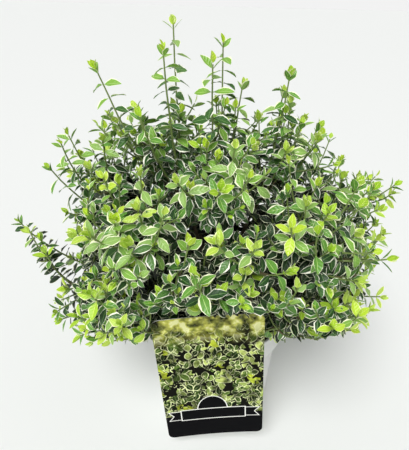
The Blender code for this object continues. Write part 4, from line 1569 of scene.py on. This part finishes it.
            # Their leaves are two ages older and darker, as painted shade
            if self.add_shoot(fork, tip, LEAFY, 0.05, TWIG_RADIUS * 0.7, older_and_shaded=2):
                return

    def nearest_fork(self, tip, distance):
        # The place on an older shoot at about this distance from the tip, rather a low one
        points = np.concatenate([shoot[1:6] for shoot in self.shoots])
        away = np.abs(np.linalg.norm(points - tip, axis=1) - distance)
        away = away + 0.5 * np.maximum(points[:, 2] - tip[2] + 10 * MM, 0.0)
        return points[int(np.argmin(away))]

    def build(self, leaf_finishes, twig_finishes):
        foliage = self.leaves.build("leaves_" + self.name, leaf_finishes)
        finish_piece(foliage, "leaves", "foliage_" + self.name)
        twigs = self.twigs.build("twigs_" + self.name, twig_finishes)
        finish_piece(twigs, "bark", "foliage_" + self.name)


def close_gaps(crown):
    # Short shoots of older leaves, darkened further as painted shade, wherever the crown would let the
    # light through
    for looks in crown:
        looks.shape = INNER_LEAF
    for depth in GAP_SHELLS:
        count = int(GAP_COUNT * depth ** 2)
        for tip in body_points(count, [depth] * count):
            below_crest = crest_height(tip, FINE_CREST) - tip[2]
            hidden = below_crest > GAP_DEPTH and within_outline(tip * DENSE_PART)
            if hidden and GAP_GRID.free(tip) and clear_of_pot_and_label(tip):
                crown[cell_of(tip)].close_gap(tip)


def model_foliage():
    main, fill = spread_tips()
    leaf_finishes = make_leaf_finishes()
    twig_finishes = [new_material("twig_green", paint(116, 136, 70), 0.6),
                     new_material("twig_brown", paint(92, 84, 56), 0.75)]
    crown = [MassLooks(own) for own in range(len(MASSES))]
    for own, looks in enumerate(crown):
        looks.grow(main[own], fill[own])
    close_gaps(crown)
    for looks in crown:
        looks.build(leaf_finishes, twig_finishes)


# Camera, light and floor

CAMERA_PLACE = Vector((-14.32 * MM, -306 * MM, 375 * MM))
CAMERA_PITCH = math.radians(29.6)
CAMERA_ROLL = math.radians(1.5)
SENSOR = 36
FOCAL_PIXELS = 394
FRAME_PIXELS = 450

# White surroundings: their light overhead, what the horizon adds, and how bright they look themselves
SKY_OVERHEAD = 0.42
SKY_HORIZON = 0.4
SKY_SEEN = 0.89

# The horizon's share fades between these heights, as parts of a direction of length one
HORIZON_TOP = 0.3
HORIZON_BOTTOM = 0.02

# A broad soft lamp from the front left and above
LAMP_STRENGTH = 2.5
LAMP_BREADTH = math.radians(34)
LAMP_SIDE = Vector((-0.28, -0.66, 1.0))

FLOOR_WIDTH = 80
FLOOR_COLOUR = (239, 241, 239)


def set_camera():
    # Looks along +Y and down, turned a little about its own line of sight
    forward = np.array([0.0, math.cos(CAMERA_PITCH), -math.sin(CAMERA_PITCH)])
    level = np.array([1.0, 0.0, 0.0])
    upward = np.cross(level, forward)
    right = level * math.cos(CAMERA_ROLL) + upward * math.sin(CAMERA_ROLL)
    top = upward * math.cos(CAMERA_ROLL) - level * math.sin(CAMERA_ROLL)
    data = bpy.data.cameras.new("photo_camera")
    data.sensor_width = SENSOR
    data.lens = SENSOR * FOCAL_PIXELS / FRAME_PIXELS
    data.clip_start = 0.01
    camera = bpy.data.objects.new("photo_camera", data)
    bpy.context.scene.collection.objects.link(camera)
    turn = Matrix((right, top, -forward)).transposed()
    camera.matrix_world = Matrix.Translation(CAMERA_PLACE) @ turn.to_4x4()
    bpy.context.scene.camera = camera


def make_world():
    # Even white surroundings, brighter towards the horizon than overhead
    world = bpy.data.worlds.new("soft_studio")
    world.use_nodes = True
    tree = world.node_tree
    height = split(tree, node(tree, "ShaderNodeTexCoord").outputs["Generated"])[2]
    glow = step_up(tree, height, HORIZON_TOP, HORIZON_BOTTOM)
    strength = maths(tree, "MULTIPLY_ADD", glow, SKY_HORIZON, SKY_OVERHEAD)
    seen = node(tree, "ShaderNodeLightPath").outputs["Is Camera Ray"]
    strength = maths(tree, "MAXIMUM", strength, maths(tree, "MULTIPLY", seen, SKY_SEEN))
    feed(tree, (1.0, 1.0, 1.0, 1.0), tree.nodes["Background"].inputs["Color"])
    feed(tree, strength, tree.nodes["Background"].inputs["Strength"])
    bpy.context.scene.world = world


def set_stage():
    deselect_all()
    bpy.ops.mesh.primitive_plane_add(size=FLOOR_WIDTH, location=(0, 0, -0.2 * MM))
    floor = bpy.context.active_object
    floor.name = "pale_floor"
    floor.data.materials.append(new_material("pale_floor", paint(*FLOOR_COLOUR), 0.7))
    make_world()
    sun = bpy.data.lights.new("soft_key_light", "SUN")
    sun.energy = LAMP_STRENGTH
    sun.angle = LAMP_BREADTH
    lamp = bpy.data.objects.new("soft_key_light", sun)
    bpy.context.scene.collection.objects.link(lamp)
    lamp.rotation_euler = LAMP_SIDE.to_track_quat("Z", "Y").to_euler()
    bpy.context.scene.view_settings.view_transform = "Standard"


set_camera()
model_pot()
model_peat()
model_card(make_card_stock(), make_print())
model_ribbon(make_ink("pale_ink", INK_PALE), make_ink("dark_ink", INK_DARK))
model_strap()
wood = make_bark()
model_stem(wood)
model_boughs(wood)
model_foliage()
set_stage()
